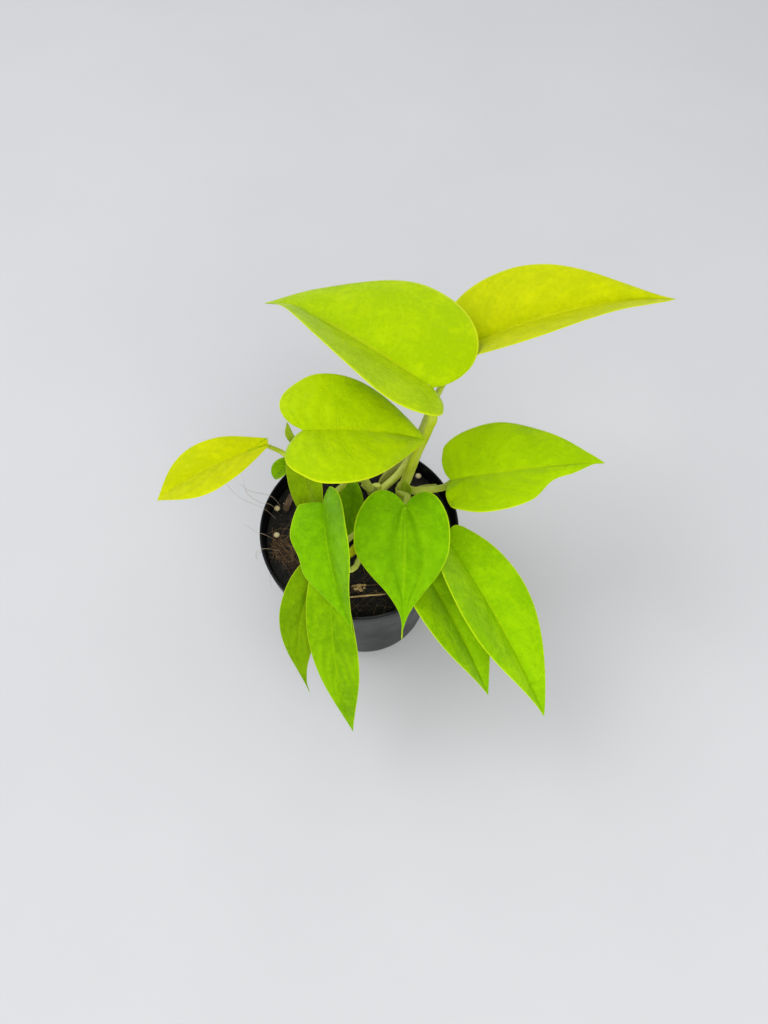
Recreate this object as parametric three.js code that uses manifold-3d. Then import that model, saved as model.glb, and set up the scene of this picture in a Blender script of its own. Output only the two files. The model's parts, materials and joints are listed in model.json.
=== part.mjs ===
// A young neon pothos in a round black nursery pot: rooted cuttings in peat, each leaf on its own stalk.
// Millimetres, +Z up, the origin at the centre of the pot's underside.
import * as THREE from 'three';
import { mergeVertices } from 'three/addons/utils/BufferGeometryUtils.js';
import Module from 'manifold-3d';

const wasm = await Module();
wasm.setup();

// ---- driving dimensions ----------------------------------------------------------------------------------

const GAP = 0.38; // clearance between pieces that touch on the real plant

const POT_HEIGHT = 90;
const RIM_RADIUS = 51;
const FOOT_RADIUS = 36;
const POT_WALL = 1.3;
const BAND_HEIGHT = 9; // the upright band under the lip
const BAND_STEP = 2.2; // how far the band stands out from the tapered wall
const CHANNEL = { inner: 14, outer: 28, rise: 2.4 }; // raised ring of the floor that drains
const DRAIN = { count: 8, radius: 3.5, ring: 21 };

const SOIL_TOP = 82;
const SOIL_DOME = 2.5; // how much higher the peat stands round the stems

const BLADE_THICKNESS = 0.7;
const EDGE_THICKNESS = 0.5;
const BLADE_ROWS = 14; // from the notch to the tip
const BLADE_COLUMNS = 3; // from the midrib to the edge
const STALK_SIDES = 8;
const STALK_STEPS = 11;

// Half of a heart-shaped blade, from the notch round the lobe to the drawn-out tip: along the midrib as a
// share of the blade's length, and away from it as a share of the half's width. A lobe reaches back behind
// the stalk by a share of its own.
const LOBE = [[0, 0], [-0.55, 0.13], [-0.92, 0.3], [-1, 0.48], [-0.7, 0.66]];
const BODY = [
  [0, 0.82], [0.1, 0.95], [0.22, 1], [0.36, 0.98], [0.5, 0.87],
  [0.64, 0.67], [0.78, 0.41], [0.9, 0.18], [0.96, 0.07],
];

// ---- materials -------------------------------------------------------------------------------------------

const surface = (color, roughness) => new THREE.MeshStandardMaterial({ color, roughness, metalness: 0 });
const MATERIALS = {
  pot: surface(0x101113, 0.35),
  soil: surface(0x17120e, 0.95),
  blade: surface(0x9bc400, 0.4),
  yellowBlade: surface(0xc4d400, 0.4),
  stalk: surface(0x9aa82a, 0.45),
  stem: surface(0x7f9428, 0.5),
  sheath: surface(0xa8964e, 0.7),
  prill: surface(0xcdbf94, 0.6),
  bark: surface(0x5a4028, 0.9),
  straw: surface(0xb09a5a, 0.8),
};

const plant = new THREE.Group();

function add(name, geometry, material) {
  const mesh = new THREE.Mesh(geometry, material);
  mesh.name = name;
  plant.add(mesh);
  return mesh;
}

// ---- helpers ---------------------------------------------------------------------------------------------

const vec = (p) => new THREE.Vector3(...p);
const radians = THREE.MathUtils.degToRad;

function fromTriangles(vertices, triangles) {
  const geometry = new THREE.BufferGeometry();
  const places = vertices.flatMap((v) => [v.x, v.y, v.z]);
  geometry.setAttribute('position', new THREE.Float32BufferAttribute(places, 3));
  geometry.setIndex(triangles);
  geometry.computeVertexNormals();
  return geometry;
}

function toManifold(geometry) {
  const bare = geometry.clone();
  bare.deleteAttribute('normal');
  bare.deleteAttribute('uv');
  const merged = mergeVertices(bare, 1e-4);
  return new wasm.Manifold(new wasm.Mesh({
    numProp: 3,
    vertProperties: new Float32Array(merged.attributes.position.array),
    triVerts: new Uint32Array(merged.index.array),
  }));
}

function fromManifold(solid) {
  const pieces = solid.decompose().sort((a, b) => b.volume() - a.volume());
  const mesh = pieces[0].getMesh();
  const geometry = new THREE.BufferGeometry();
  geometry.setAttribute('position', new THREE.BufferAttribute(new Float32Array(mesh.vertProperties), 3));
  geometry.setIndex([...mesh.triVerts]);
  geometry.computeVertexNormals();
  return geometry;
}

// What is left of a solid once others are cut from it; crumbs that a cut leaves behind are dropped.
function cut(geometry, cutters) {
  const whole = toManifold(geometry);
  return fromManifold(cutters.reduce((solid, cutter) => solid.subtract(toManifold(cutter)), whole));
}

function turned(profile, segments) {
  const geometry = new THREE.LatheGeometry(profile.map((p) => new THREE.Vector2(...p)), segments);
  return geometry.rotateX(Math.PI / 2);
}

// A closed tube along a smooth curve. width(t) is its radius, and flatness squeezes the section.
function tube(points, width, { sides = STALK_SIDES, steps = STALK_STEPS, flatness = 1 } = {}) {
  const curve = new THREE.CatmullRomCurve3(points.map(vec), false, 'centripetal');
  const frames = curve.computeFrenetFrames(steps, false);
  const vertices = [];
  const triangles = [];
  for (let i = 0; i <= steps; i += 1) {
    const centre = curve.getPointAt(i / steps);
    for (let j = 0; j < sides; j += 1) {
      const angle = (2 * Math.PI * j) / sides;
      const radius = width(i / steps);
      vertices.push(centre.clone()
        .addScaledVector(frames.normals[i], radius * Math.cos(angle))
        .addScaledVector(frames.binormals[i], radius * flatness * Math.sin(angle)));
    }
  }
  for (let i = 0; i < steps; i += 1) {
    for (let j = 0; j < sides; j += 1) {
      const [a, b] = [i * sides + j, i * sides + ((j + 1) % sides)];
      triangles.push(a, b, a + sides, b, b + sides, a + sides);
    }
  }
  const last = steps * sides;
  for (let j = 1; j < sides - 1; j += 1) {
    triangles.push(0, j + 1, j, last, last + j, last + j + 1);
  }
  return fromTriangles(vertices, triangles);
}

const taper = (start, end) => (t) => start + (end - start) * t;

// ---- pot and soil ----------------------------------------------------------------------------------------

const bandFoot = POT_HEIGHT - BAND_HEIGHT;
const wallTop = RIM_RADIUS - BAND_STEP - 1;

function potProfile() {
  const { inner, outer, rise } = CHANNEL;
  return [
    [0, 0], [inner - 1, 0], [inner + 1, rise], [outer - 1, rise], [outer + 1, 0],
    [FOOT_RADIUS - 1, 0], [FOOT_RADIUS, 1],
    [wallTop, bandFoot - 2], [RIM_RADIUS - 0.8, bandFoot],
    [RIM_RADIUS, POT_HEIGHT - 1.2], [RIM_RADIUS - 0.3, POT_HEIGHT - 0.3], [RIM_RADIUS - 0.9, POT_HEIGHT],
    [RIM_RADIUS - POT_WALL, POT_HEIGHT - 0.5], [RIM_RADIUS - 0.8 - POT_WALL, bandFoot + 0.9],
    [wallTop - POT_WALL, bandFoot - 1.4], [FOOT_RADIUS - POT_WALL + 0.3, POT_WALL + 0.5],
    [FOOT_RADIUS - POT_WALL - 1, POT_WALL], [outer + 1 - 0.5, POT_WALL], [outer - 1 - 0.5, rise + POT_WALL],
    [inner + 1 + 0.5, rise + POT_WALL], [inner - 1 + 0.5, POT_WALL], [0, POT_WALL],
  ];
}

function drainHoles() {
  return Array.from({ length: DRAIN.count }, (_, i) => {
    const hole = new THREE.CylinderGeometry(DRAIN.radius, DRAIN.radius, 12, 12);
    hole.rotateX(Math.PI / 2);
    hole.translate(DRAIN.ring, 0, CHANNEL.rise);
    return hole.rotateZ((2 * Math.PI * i) / DRAIN.count);
  });
}

function soilProfile() {
  const { inner, outer, rise } = CHANNEL;
  const floor = POT_WALL + GAP;
  const insideWall = RIM_RADIUS - 0.8 - POT_WALL - GAP;
  return [
    [0, floor], [inner - 1, floor], [inner + 0.6, rise + floor], [outer - 0.6, rise + floor],
    [outer + 1, floor], [FOOT_RADIUS - POT_WALL - 1.2, floor], [FOOT_RADIUS - POT_WALL, floor + 0.6],
    [wallTop - POT_WALL - GAP, bandFoot - 1.1], [insideWall - 0.7, SOIL_TOP - 0.4],
    [insideWall - 4, SOIL_TOP], [32, SOIL_TOP + 0.6], [16, SOIL_TOP + SOIL_DOME * 0.8],
    [0, SOIL_TOP + SOIL_DOME],
  ];
}

// ---- stems -----------------------------------------------------------------------------------------------

// The rooted cuttings: each a short stem that stands in the peat, with its root end well below the surface.
const STEMS = {
  right: { points: [[22, 22, 58], [23, 20, 76], [23, 19, 96]], radius: 3.2 },
  middle: { points: [[7, 23, 58], [8, 22, 76], [7, 18, 94]], radius: 2.6 },
  left: { points: [[-7, 29, 58], [-6, 28, 76], [-8, 26, 104]], radius: 2.4 },
  front: { points: [[8, 4, 58], [8, 3, 76], [7, 0, 96]], radius: 2.5 },
};

const stemWidth = (radius, extra = 0) => (t) => radius * (1 + 0.12 * Math.cos(9 * t) ** 8) + extra;

function stemSolid({ points, radius }, extra = 0) {
  const [[x0, y0, z0], middle, [x1, y1, z1]] = points;
  return tube([[x0, y0, z0 - extra], middle, [x1, y1, z1 + extra]], stemWidth(radius, extra), { steps: 9 });
}

// ---- leaves ----------------------------------------------------------------------------------------------

// Every leaf: where its blade meets the stalk, where its tip is, and which way its face looks. Left is left
// with the tip away from you and the face up, and a pair is [left, right]. halves are the widths of the two
// halves, and lobe is how far each reaches back, as a share of the length. fold lifts each half off the flat,
// in degrees. slim narrows a half towards the tip, waist narrows it at the stalk, and a full below 1 moves
// its widest part towards the tip. A dent is a shallow bay in one edge. The midrib bows up by arch and left
// by bend, its last third falls by drop, and twist turns the tip about it. A stalk leaves its stem at a share
// of the stem's height and runs through points.
const LEAVES = [
  {
    name: 'back_left', base: [36, 30, 162], tip: [-42, 84, 163], face: [0, 0, 1], halves: [33, 43],
    lobe: [0.12, 0.09], fold: [30, 14], slim: [0.3, 0.2], twist: 18, arch: 2, drop: 12,
    stalk: { stem: 'right', at: 0.95, via: [[28.5, 19, 122]], width: [3.1, 2.6] },
  },
  {
    name: 'back_right', base: [51.8, 65, 147.5], tip: [143, 56, 187], face: [0, 0, 1], halves: [30, 28],
    lobe: [0.06, 0.06], fold: [22, 29], slim: [0.3, -0.2], waist: [0.1, 0.4], arch: 5, drop: 6,
    stalk: { stem: 'middle', at: 0.8, via: [[14, 22, 92], [24, 28, 101], [39, 45, 134]], width: [2.3, 1.7] },
  },
  {
    name: 'middle_left', base: [-22, 10, 160], tip: [33, 13, 146], face: [0, 0, 1], halves: [26, 29],
    lobe: [0.17, 0.14], fold: [8, 8], slim: [-0.15, -0.1], waist: [-0.2, 0], arch: 4,
    stalk: { stem: 'middle', at: 0.95, via: [[-6, 20, 128]], width: [2.2, 1.6] },
  },
  {
    name: 'right', base: [46, 11, 114], tip: [121, 15, 120], face: [0, 0, 1], halves: [29, 24],
    lobe: [0.04, 0.04], fold: [6, 6], slim: [-0.1, 0.7], waist: [0.2, 0.15],
    dent: { side: 1, at: 0.62, depth: 0.16 }, arch: 3,
    stalk: { stem: 'right', at: 0.88, via: [[32, 14, 100]], width: [2.2, 1.6] },
  },
  {
    name: 'far_left', base: [-43, 27, 126], tip: [-97, 3, 115], face: [0, 0, 1], halves: [17, 14.5],
    lobe: [0.01, 0.01], fold: [12, 12], full: [0.62, 0.62], waist: [0.9, 0.7], arch: 3, drop: 4,
    stalk: { stem: 'left', at: 0.95, via: [[-20, 30, 112], [-36, 25, 119]], width: [1.7, 1.2] },
  },
  {
    name: 'front_left', base: [-16, -5, 122], tip: [-3.4, -60.4, 95.5], face: [-5, -6, 6], halves: [20, 18.5],
    lobe: [0.08, 0.02], fold: [25, 25], slim: [0, 0.8], waist: [0, 0.2],
    dent: { side: 1, at: 0.38, depth: 0.14 }, arch: 4,
    stalk: { stem: 'left', at: 0.82, via: [[-7, 14, 108]], width: [1.9, 1.4] },
  },
  {
    name: 'front_middle', base: [23, -9, 125], tip: [19.8, -63, 92], face: [0, -6, 8], halves: [21, 24],
    lobe: [0.1, 0.1], fold: [12, 12], slim: [1.1, 1.8], arch: 4,
    stalk: { stem: 'right', at: 0.78, via: [[21, 11, 101], [21, 3, 116]], width: [2.1, 1.5] },
  },
  {
    name: 'front_right', base: [43.5, -17.4, 104], tip: [85, -96, 76], face: [4, -2, 9], halves: [21.5, 25],
    lobe: [0.05, 0.03], fold: [24, 24], slim: [-0.1, 0.1], waist: [0.35, 0.4], arch: 5,
    stalk: { stem: 'right', at: 0.76, via: [[31, 6, 97]], width: [2.0, 1.5] },
  },
  {
    name: 'front_right_lower', base: [29, -25, 97], tip: [61, -83, 68], face: [4, -2, 9], halves: [19, 19],
    lobe: [0.05, 0.05], fold: [20, 20], arch: 4,
    stalk: { stem: 'front', at: 0.85, via: [[17, -12, 97]], width: [1.8, 1.4] },
  },
  {
    name: 'front_left_lower', base: [-20, -31, 100], tip: [-26, -78, 63], face: [-1, -4, 6], halves: [11, 11],
    lobe: [0.06, 0.06], fold: [2, 16], slim: [0.5, 0.7], arch: 4, bend: -6,
    stalk: { stem: 'front', at: 0.94, via: [[-6, -14, 100]], width: [1.6, 1.2] },
  },
  {
    name: 'front_left_long', base: [-12.2, -32, 104], tip: [-5, -96, 56], face: [-1, -3, 5],
    halves: [13.5, 12],
    lobe: [0.06, 0.04], fold: [14, 14], full: [0.7, 1], slim: [0, 0.2], waist: [0.6, 0], arch: 5, bend: -3,
    stalk: { stem: 'front', at: 0.8, via: [[1.5, -19, 96], [-4, -29.5, 98.5]], width: [1.7, 1.3] },
  },
  {
    name: 'left_under', base: [-27, 25, 124], tip: [-18, -14, 98], face: [-3, -2, 6], halves: [10, 9],
    lobe: [0.1, 0.1], fold: [10, 10], arch: 3,
    stalk: { stem: 'left', at: 0.75, via: [[-17, 23, 106]], width: [1.5, 1.1] },
  },
  {
    name: 'left_hood', base: [-33, 26, 110], tip: [-42.5, 20, 106], face: [-4, -3, 6], halves: [4.5, 5],
    lobe: [0.1, 0.1], fold: [18, 18], full: [0.6, 0.6], slim: [-0.5, -0.5], arch: 2,
    stalk: { stem: 'left', at: 0.64, via: [[-20, 31, 99]], width: [1.3, 0.9] },
  },
  {
    name: 'inner_small', base: [-2, 20.5, 98], tip: [-9.3, -17, 89], face: [1, -2, 6], halves: [8, 9],
    lobe: [0.04, 0.04], fold: [14, 14], waist: [0.7, 0.6], arch: 2,
    stalk: { stem: 'middle', at: 0.85, via: [[4, 24, 93]], width: [1.4, 1.0] },
  },
];


const YELLOW_LEAVES = ['back_right', 'far_left'];

// The outline of one half: side 0 is the left one.
function halfOutline(leaf, side) {
  const { slim = [0, 0], waist = [0, 0], full = [1, 1] } = leaf;
  const body = BODY.map(([share, out]) => {
    const along = share ** full[side];
    const slimmer = share > 0.22 ? out ** (1 + slim[side]) : out;
    return [along, slimmer * (1 - waist[side] * (1 - along) ** 4)];
  });
  const lobe = LOBE.map(([along, out]) => [along * leaf.lobe[side], out * (1 - waist[side])]);
  const curve = new THREE.SplineCurve([...lobe, ...body, [1, 0]].map((p) => new THREE.Vector2(...p)));
  return (t) => {
    const point = curve.getPoint(t);
    if (leaf.dent && leaf.dent.side === side) {
      point.y -= leaf.dent.depth * Math.exp(-(((point.x - leaf.dent.at) / 0.08) ** 2));
    }
    return point;
  };
}

// The blade as a function: share along the midrib and distance across it, left positive, to a point in space.
function bladeSurface(leaf) {
  const { bend = 0, twist = 0, arch, fold, drop = 0 } = leaf;
  const base = vec(leaf.base);
  const along = vec(leaf.tip).sub(base);
  const length = along.length();
  along.normalize();
  const left = vec(leaf.face).cross(along).normalize();
  const up = along.clone().cross(left);
  const rib = (s) => base.clone()
    .addScaledVector(along, s * length)
    .addScaledVector(up, 4 * arch * s * (1 - s) + drop * (s - s ** 5))
    .addScaledVector(left, 4 * bend * s * (1 - s));
  const ribWay = (s) => rib(s + 0.01).sub(rib(s - 0.01)).normalize();
  return (share, across) => {
    const s = Math.max(share, 0);
    const way = ribWay(s);
    const roll = radians(twist * s);
    const side = left.clone().multiplyScalar(Math.cos(roll)).addScaledVector(up, Math.sin(roll));
    side.addScaledVector(way, -side.dot(way)).normalize();
    const lift = way.clone().cross(side);
    const angle = radians(fold[across > 0 ? 0 : 1]);
    const reach = Math.abs(across);
    return rib(s)
      .addScaledVector(way, (share - s) * length)
      .addScaledVector(side, across * Math.cos(angle))
      .addScaledVector(lift, reach * Math.sin(angle));
  };
}

function bladeSolid(leaf) {
  const at = bladeSurface(leaf);
  const outlines = [halfOutline(leaf, 0), halfOutline(leaf, 1)];
  const columns = 2 * BLADE_COLUMNS + 1;
  const top = [];
  const grid = []; // grid[row][column] is an index into top
  for (let row = 0; row <= BLADE_ROWS; row += 1) {
    const t = row / BLADE_ROWS;
    const edges = outlines.map((outline) => outline(t));
    const ribShare = t ** 1.3;
    grid.push([]);
    for (let column = 0; column < columns; column += 1) {
      const k = (BLADE_COLUMNS - column) / BLADE_COLUMNS; // 1 at the left edge, -1 at the right one
      const end = row === 0 || row === BLADE_ROWS;
      if (end && column > 0) {
        grid[row].push(grid[row][0]);
        continue;
      }
      const side = k > 0 ? 0 : 1;
      const along = end ? t : ribShare + (edges[side].x - ribShare) * Math.abs(k);
      grid[row].push(top.length);
      top.push(at(along, end ? 0 : k * edges[side].y * leaf.halves[side]));
    }
  }
  const faces = [];
  const face = (a, b, c) => {
    if (a !== b && b !== c && c !== a) faces.push([a, b, c]);
  };
  for (let row = 0; row < BLADE_ROWS; row += 1) {
    for (let column = 0; column < columns - 1; column += 1) {
      const [a, b] = [grid[row][column], grid[row][column + 1]];
      const [c, d] = [grid[row + 1][column], grid[row + 1][column + 1]];
      if (column < BLADE_COLUMNS) {
        face(a, b, c);
        face(b, d, c);
      } else {
        face(a, b, d);
        face(a, d, c);
      }
    }
  }
  return thickened(top, faces, grid);
}

// Gives the upper sheet a lower one and a narrow wall round the edge.
function thickened(top, faces, grid) {
  const sheet = fromTriangles(top, faces.flat());
  const normals = sheet.attributes.normal;
  const last = grid[0].length - 1;
  const loop = [...grid.map((row) => row[0]), ...grid.slice(1, -1).reverse().map((row) => row[last])];
  const onEdge = new Set(loop);
  const bottom = top.map((p, i) => p.clone().addScaledVector(
    new THREE.Vector3().fromBufferAttribute(normals, i),
    -(onEdge.has(i) ? EDGE_THICKNESS : BLADE_THICKNESS),
  ));
  const under = top.length;
  const triangles = faces.flatMap(([a, b, c]) => [a, b, c, under + a, under + c, under + b]);
  loop.forEach((a, i) => {
    const b = loop[(i + 1) % loop.length];
    triangles.push(a, b, under + a, b, under + b, under + a);
  });
  return fromTriangles([...top, ...bottom], triangles);
}

const stemCurve = (name) => new THREE.CatmullRomCurve3(STEMS[name].points.map(vec), false, 'centripetal');

// A stalk starts inside its stem and ends in a short knee under the blade.
function stalkTube(leaf, extra = 0) {
  const { stem, at, via, width } = leaf.stalk;
  const surfaceAt = bladeSurface(leaf);
  const knee = surfaceAt(0, 0);
  const way = surfaceAt(0.02, 0).sub(knee).normalize();
  const up = way.clone().cross(surfaceAt(0, 1).sub(knee)).normalize();
  const under = knee.clone().addScaledVector(up, -(BLADE_THICKNESS + GAP + width[1]));
  const end = under.clone().addScaledVector(way, 1);
  const approach = under.clone().addScaledVector(way, -5).addScaledVector(up, -4);
  const points = [stemCurve(stem).getPointAt(at).toArray(), ...via, approach.toArray(), end.toArray()];
  return tube(points, taper(width[0] + extra, width[1] + extra));
}

const leafNamed = (name) => LEAVES.find((leaf) => leaf.name === name);

// ---- sheaths, the rolled new leaf and what lies on the peat ----------------------------------------------

// A thin pointed scale, wide in the middle. It stands clear of the stems and stalks that it wraps.
const SHEATHS = {
  middle: {
    points: [[12, 25, 85.5], [15, 28, 89], [20, 32, 93], [25, 36, 96]], width: 4.2, near: ['back_right'],
  },
  right: {
    points: [[28, 17, 92], [31, 17, 96], [35, 17, 99.5], [40, 16, 102]], width: 2.4,
    near: ['right', 'back_left'],
  },
  tip_right: {
    points: [[24.5, 14, 93], [25, 13.5, 100], [24.5, 13, 107], [23.5, 12.5, 112]], width: 2.6,
    near: ['front_middle', 'back_left', 'right'],
  },
  tip_left: {
    points: [[-29, 33, 113], [-33, 32, 122], [-34, 31, 131], [-32, 30, 139]], width: 2, near: ['far_left'],
  },
};
const NEW_LEAF = { points: [[3, -7, 88.5], [0, -8.5, 88.5], [-3, -11, 88], [-6, -16, 87]], width: 2.1 };

function sheathSolid({ points, width, near }) {
  const outline = (t) => width * Math.max(0.12, Math.sin(Math.PI * (0.12 + 0.86 * t)));
  const cutters = near.map((name) => stalkTube(leafNamed(name), GAP));
  const stems = Object.values(STEMS).map((stem) => stemSolid(stem, GAP));
  return cut(tube(points, outline, { flatness: 0.3 }), [...cutters, ...stems]);
}

function soilHeight(x, y) {
  const profile = soilProfile().filter(([, z]) => z > SOIL_TOP - 0.5).reverse();
  const radius = Math.hypot(x, y);
  const next = profile.findIndex(([r]) => r > radius);
  const [[r0, z0], [r1, z1]] = [profile[next - 1], profile[next]];
  return z0 + ((z1 - z0) * (radius - r0)) / (r1 - r0);
}

const PRILLS = [[-43.5, 15], [-43, -1], [32, 33], [-18, -40]];
const PRILL_RADIUS = 1.7;

function prillSolid([x, y]) {
  const pebble = new THREE.SphereGeometry(PRILL_RADIUS, 12, 8);
  pebble.scale(1, 0.92, 0.85);
  return pebble.translate(x, y, soilHeight(x, y) + PRILL_RADIUS * 0.85 + GAP + 0.2);
}

// Chips and straws: where each lies, how it is turned, and its length, width and thickness.
const LITTER = {
  bark_left: { at: [-37.5, 19], turn: 70, size: [12, 3.8, 1.4], material: 'bark' },
  bark_front: { at: [-1, -31.5], turn: 8, size: [9, 3.4, 1.4], material: 'bark' },
  straw_front: { at: [4, -36], turn: 3, size: [18, 1.1, 0.9], material: 'straw' },
};

function litterSolid({ at: [x, y], turn, size: [length, width, thick] }) {
  const corner = 0.3 * width;
  const outline = new THREE.Shape([
    [-0.5 * length, -0.2 * width], [-0.5 * length + corner, -0.5 * width], [0.3 * length, -0.4 * width],
    [0.5 * length, 0], [0.35 * length, 0.5 * width], [-0.4 * length, 0.4 * width],
  ].map((p) => new THREE.Vector2(...p)));
  const chip = new THREE.ExtrudeGeometry(outline, { depth: thick, bevelEnabled: false });
  chip.rotateZ(radians(turn));
  const highest = Math.max(...[-0.5, 0, 0.5].map((k) => soilHeight(
    x + k * length * Math.cos(radians(turn)),
    y + k * length * Math.sin(radians(turn)),
  )));
  return chip.translate(x, y, highest + GAP + 0.2);
}

// ---- assembly --------------------------------------------------------------------------------------------

add('nursery_pot', cut(turned(potProfile(), 48), drainHoles()), MATERIALS.pot);
const stemHoles = Object.values(STEMS).map((stem) => stemSolid(stem, GAP));
add('potting_soil', cut(turned(soilProfile(), 32), stemHoles), MATERIALS.soil);
for (const [name, stem] of Object.entries(STEMS)) {
  add(`stem_${name}`, stemSolid(stem), MATERIALS.stem);
}
for (const leaf of LEAVES) {
  const yellow = YELLOW_LEAVES.includes(leaf.name);
  add(`leaf_${leaf.name}`, bladeSolid(leaf), yellow ? MATERIALS.yellowBlade : MATERIALS.blade);
  const { stem } = leaf.stalk;
  const earlier = LEAVES.slice(0, LEAVES.indexOf(leaf)).filter((other) => other.stalk.stem === stem);
  const cutters = [stemSolid(STEMS[stem], GAP), ...earlier.map((other) => stalkTube(other, GAP))];
  add(`stalk_${leaf.name}`, cut(stalkTube(leaf), cutters), MATERIALS.stalk);
}
for (const [name, sheath] of Object.entries(SHEATHS)) {
  add(`sheath_${name}`, sheathSolid(sheath), name === 'right' ? MATERIALS.sheath : MATERIALS.stem);
}
const rolled = (t) => NEW_LEAF.width * Math.sin(Math.PI * (0.1 + 0.85 * t ** 1.6));
add('new_leaf', tube(NEW_LEAF.points, rolled), MATERIALS.yellowBlade);
PRILLS.forEach((prill, i) => add(`prill_${i + 1}`, prillSolid(prill), MATERIALS.prill));
for (const [name, chip] of Object.entries(LITTER)) add(name, litterSolid(chip), MATERIALS[chip.material]);

export default plant;
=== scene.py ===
# %% [markdown]
# # A young neon pothos in its nursery pot
# The plant is a handful of rooted cuttings in peat. Each leaf is a thin, folded, heart-shaped blade on a stalk of its
# own, and the stalks leave short stems that stand in the pot.
# The measured frame comes first: it holds every part at its real size and place, in metres, with +Z up. Everything
# below is made around it and never moves it.

# %% The frame
import json
import math
import bmesh
import bpy
import numpy as np
from mathutils import Matrix, Vector, noise


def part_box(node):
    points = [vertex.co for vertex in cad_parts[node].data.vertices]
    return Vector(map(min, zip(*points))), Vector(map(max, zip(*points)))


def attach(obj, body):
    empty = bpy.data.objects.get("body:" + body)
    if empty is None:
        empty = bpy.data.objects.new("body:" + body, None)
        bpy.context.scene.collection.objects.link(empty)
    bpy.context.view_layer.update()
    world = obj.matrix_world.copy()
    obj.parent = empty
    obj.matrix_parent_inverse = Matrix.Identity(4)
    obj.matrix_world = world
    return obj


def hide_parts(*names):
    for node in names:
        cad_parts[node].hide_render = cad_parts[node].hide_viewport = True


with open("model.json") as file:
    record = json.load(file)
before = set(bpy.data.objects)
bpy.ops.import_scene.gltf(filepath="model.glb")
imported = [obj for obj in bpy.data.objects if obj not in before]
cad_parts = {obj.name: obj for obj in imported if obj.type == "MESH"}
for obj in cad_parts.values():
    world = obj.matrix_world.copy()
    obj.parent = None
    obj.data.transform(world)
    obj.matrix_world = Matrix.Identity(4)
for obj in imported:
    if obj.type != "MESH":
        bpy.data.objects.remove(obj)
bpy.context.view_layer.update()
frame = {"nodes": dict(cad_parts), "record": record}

NODES = frame["nodes"]
SLOTS = {entry["node"]: entry["material_slot"] for entry in frame["record"]["subparts"]}
MM = 0.001
print("parts in the frame:", len(NODES))

# %% [markdown]
# ## Small helpers for shaders
# A shader is a graph of nodes. Written one call at a time it gets long, so a few helpers carry the weight: `put`
# adds a node and plugs values or other sockets into it, `calc` does one sum, `painted` lays colours over each other
# through masks, and `dress` connects the results to a surface.

# %% Shader helpers
def plug(tree, node, values):
    """Sets a node's inputs: a socket is linked, anything else is kept as a value."""
    for key, value in values.items():
        if isinstance(value, bpy.types.NodeSocket):
            tree.links.new(value, node.inputs[key])
        else:
            node.inputs[key].default_value = value


def put(tree, kind, inputs=None, **settings):
    node = tree.nodes.new(kind)
    for key, value in settings.items():
        setattr(node, key, value)
    plug(tree, node, inputs or {})
    return node


def calc(tree, operation, *values):
    return put(tree, "ShaderNodeMath", dict(enumerate(values)), operation=operation).outputs[0]


def ramp(tree, value, low, high, start=0.0, end=1.0):
    return put(tree, "ShaderNodeMapRange", {"Value": value, 1: low, 2: high, 3: start, 4: end},
               interpolation_type="SMOOTHSTEP").outputs[0]


def painted(tree, colour, *coats):
    """A colour under coats of others, each one laid on through a mask."""
    for mask, coat in coats:
        pair = [c if isinstance(c, bpy.types.NodeSocket) else (*c, 1) for c in (colour, coat)]
        colour = put(tree, "ShaderNodeMix", {0: mask, 6: pair[0], 7: pair[1]}, data_type="RGBA").outputs[2]
    return colour


def speckle(tree, coordinates, scale, detail=3.0, rough=0.55, stretch=None):
    if stretch:
        coordinates = put(tree, "ShaderNodeMapping", {"Vector": coordinates, "Scale": stretch}).outputs[0]
    inputs = {"Vector": coordinates, "Scale": scale, "Detail": detail, "Roughness": rough}
    return put(tree, "ShaderNodeTexNoise", inputs).outputs["Fac"]


def new_tree(kind, name, inputs, outputs):
    """An empty node tree, the sockets it is given and the sockets it fills."""
    tree = bpy.data.node_groups.new(name, kind)
    for label, socket_kind, value in inputs:
        socket = tree.interface.new_socket(label, in_out="INPUT", socket_type=socket_kind)
        if value is not None:
            socket.default_value = value
    for label, socket_kind in outputs:
        tree.interface.new_socket(label, in_out="OUTPUT", socket_type=socket_kind)
    return tree, tree.nodes.new("NodeGroupInput").outputs, tree.nodes.new("NodeGroupOutput").inputs


def use_group(tree, group, **values):
    node = tree.nodes.new("ShaderNodeGroup")
    node.node_tree = group
    plug(tree, node, values)
    return node.outputs


def new_material(name):
    material = bpy.data.materials.new(name)
    material.use_nodes = True
    tree = material.node_tree
    tree.nodes.clear()
    surface = put(tree, "ShaderNodeBsdfPrincipled")
    put(tree, "ShaderNodeOutputMaterial", {"Surface": surface.outputs[0]})
    place = put(tree, "ShaderNodeTexCoord").outputs["Object"]
    return material, tree, surface, place


def dress(tree, surface, colour, rough, relief, values=None):
    """Plugs in a colour, a roughness and a relief of (height, distance, strength), and any other values."""
    height, distance, strength = relief
    inputs = {"Height": height, "Distance": distance, "Strength": strength}
    normal = put(tree, "ShaderNodeBump", inputs).outputs[0]
    plug(tree, surface, {"Base Color": colour, "Roughness": rough, "Normal": normal, **(values or {})})


# %% [markdown]
# ## The marks on a blade
# A blade is not one green. A pale midrib runs down it, side veins leave the midrib in pairs and sweep towards the
# tip, the leaf between two veins puffs up a little, and a thin line of paler tissue follows the edge. A band of
# painted shade lies along each vein, where the puffed leaf dips. Each blade gets a UV map when it is built: U runs
# across it, from edge to edge, and V from the stalk to the tip. One node group turns that map into masks, and every
# blade material uses it with colours of its own.

# %% Blade marks as a node group
VEIN_PAIRS = 8.0
VEIN_SWEEP = 0.32
SWEEP_BEND = 1.15
MARKS = ("Vein", "Hollow", "Fine Vein", "Midrib", "Edge", "Mottle", "Cells", "Pores")
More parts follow.
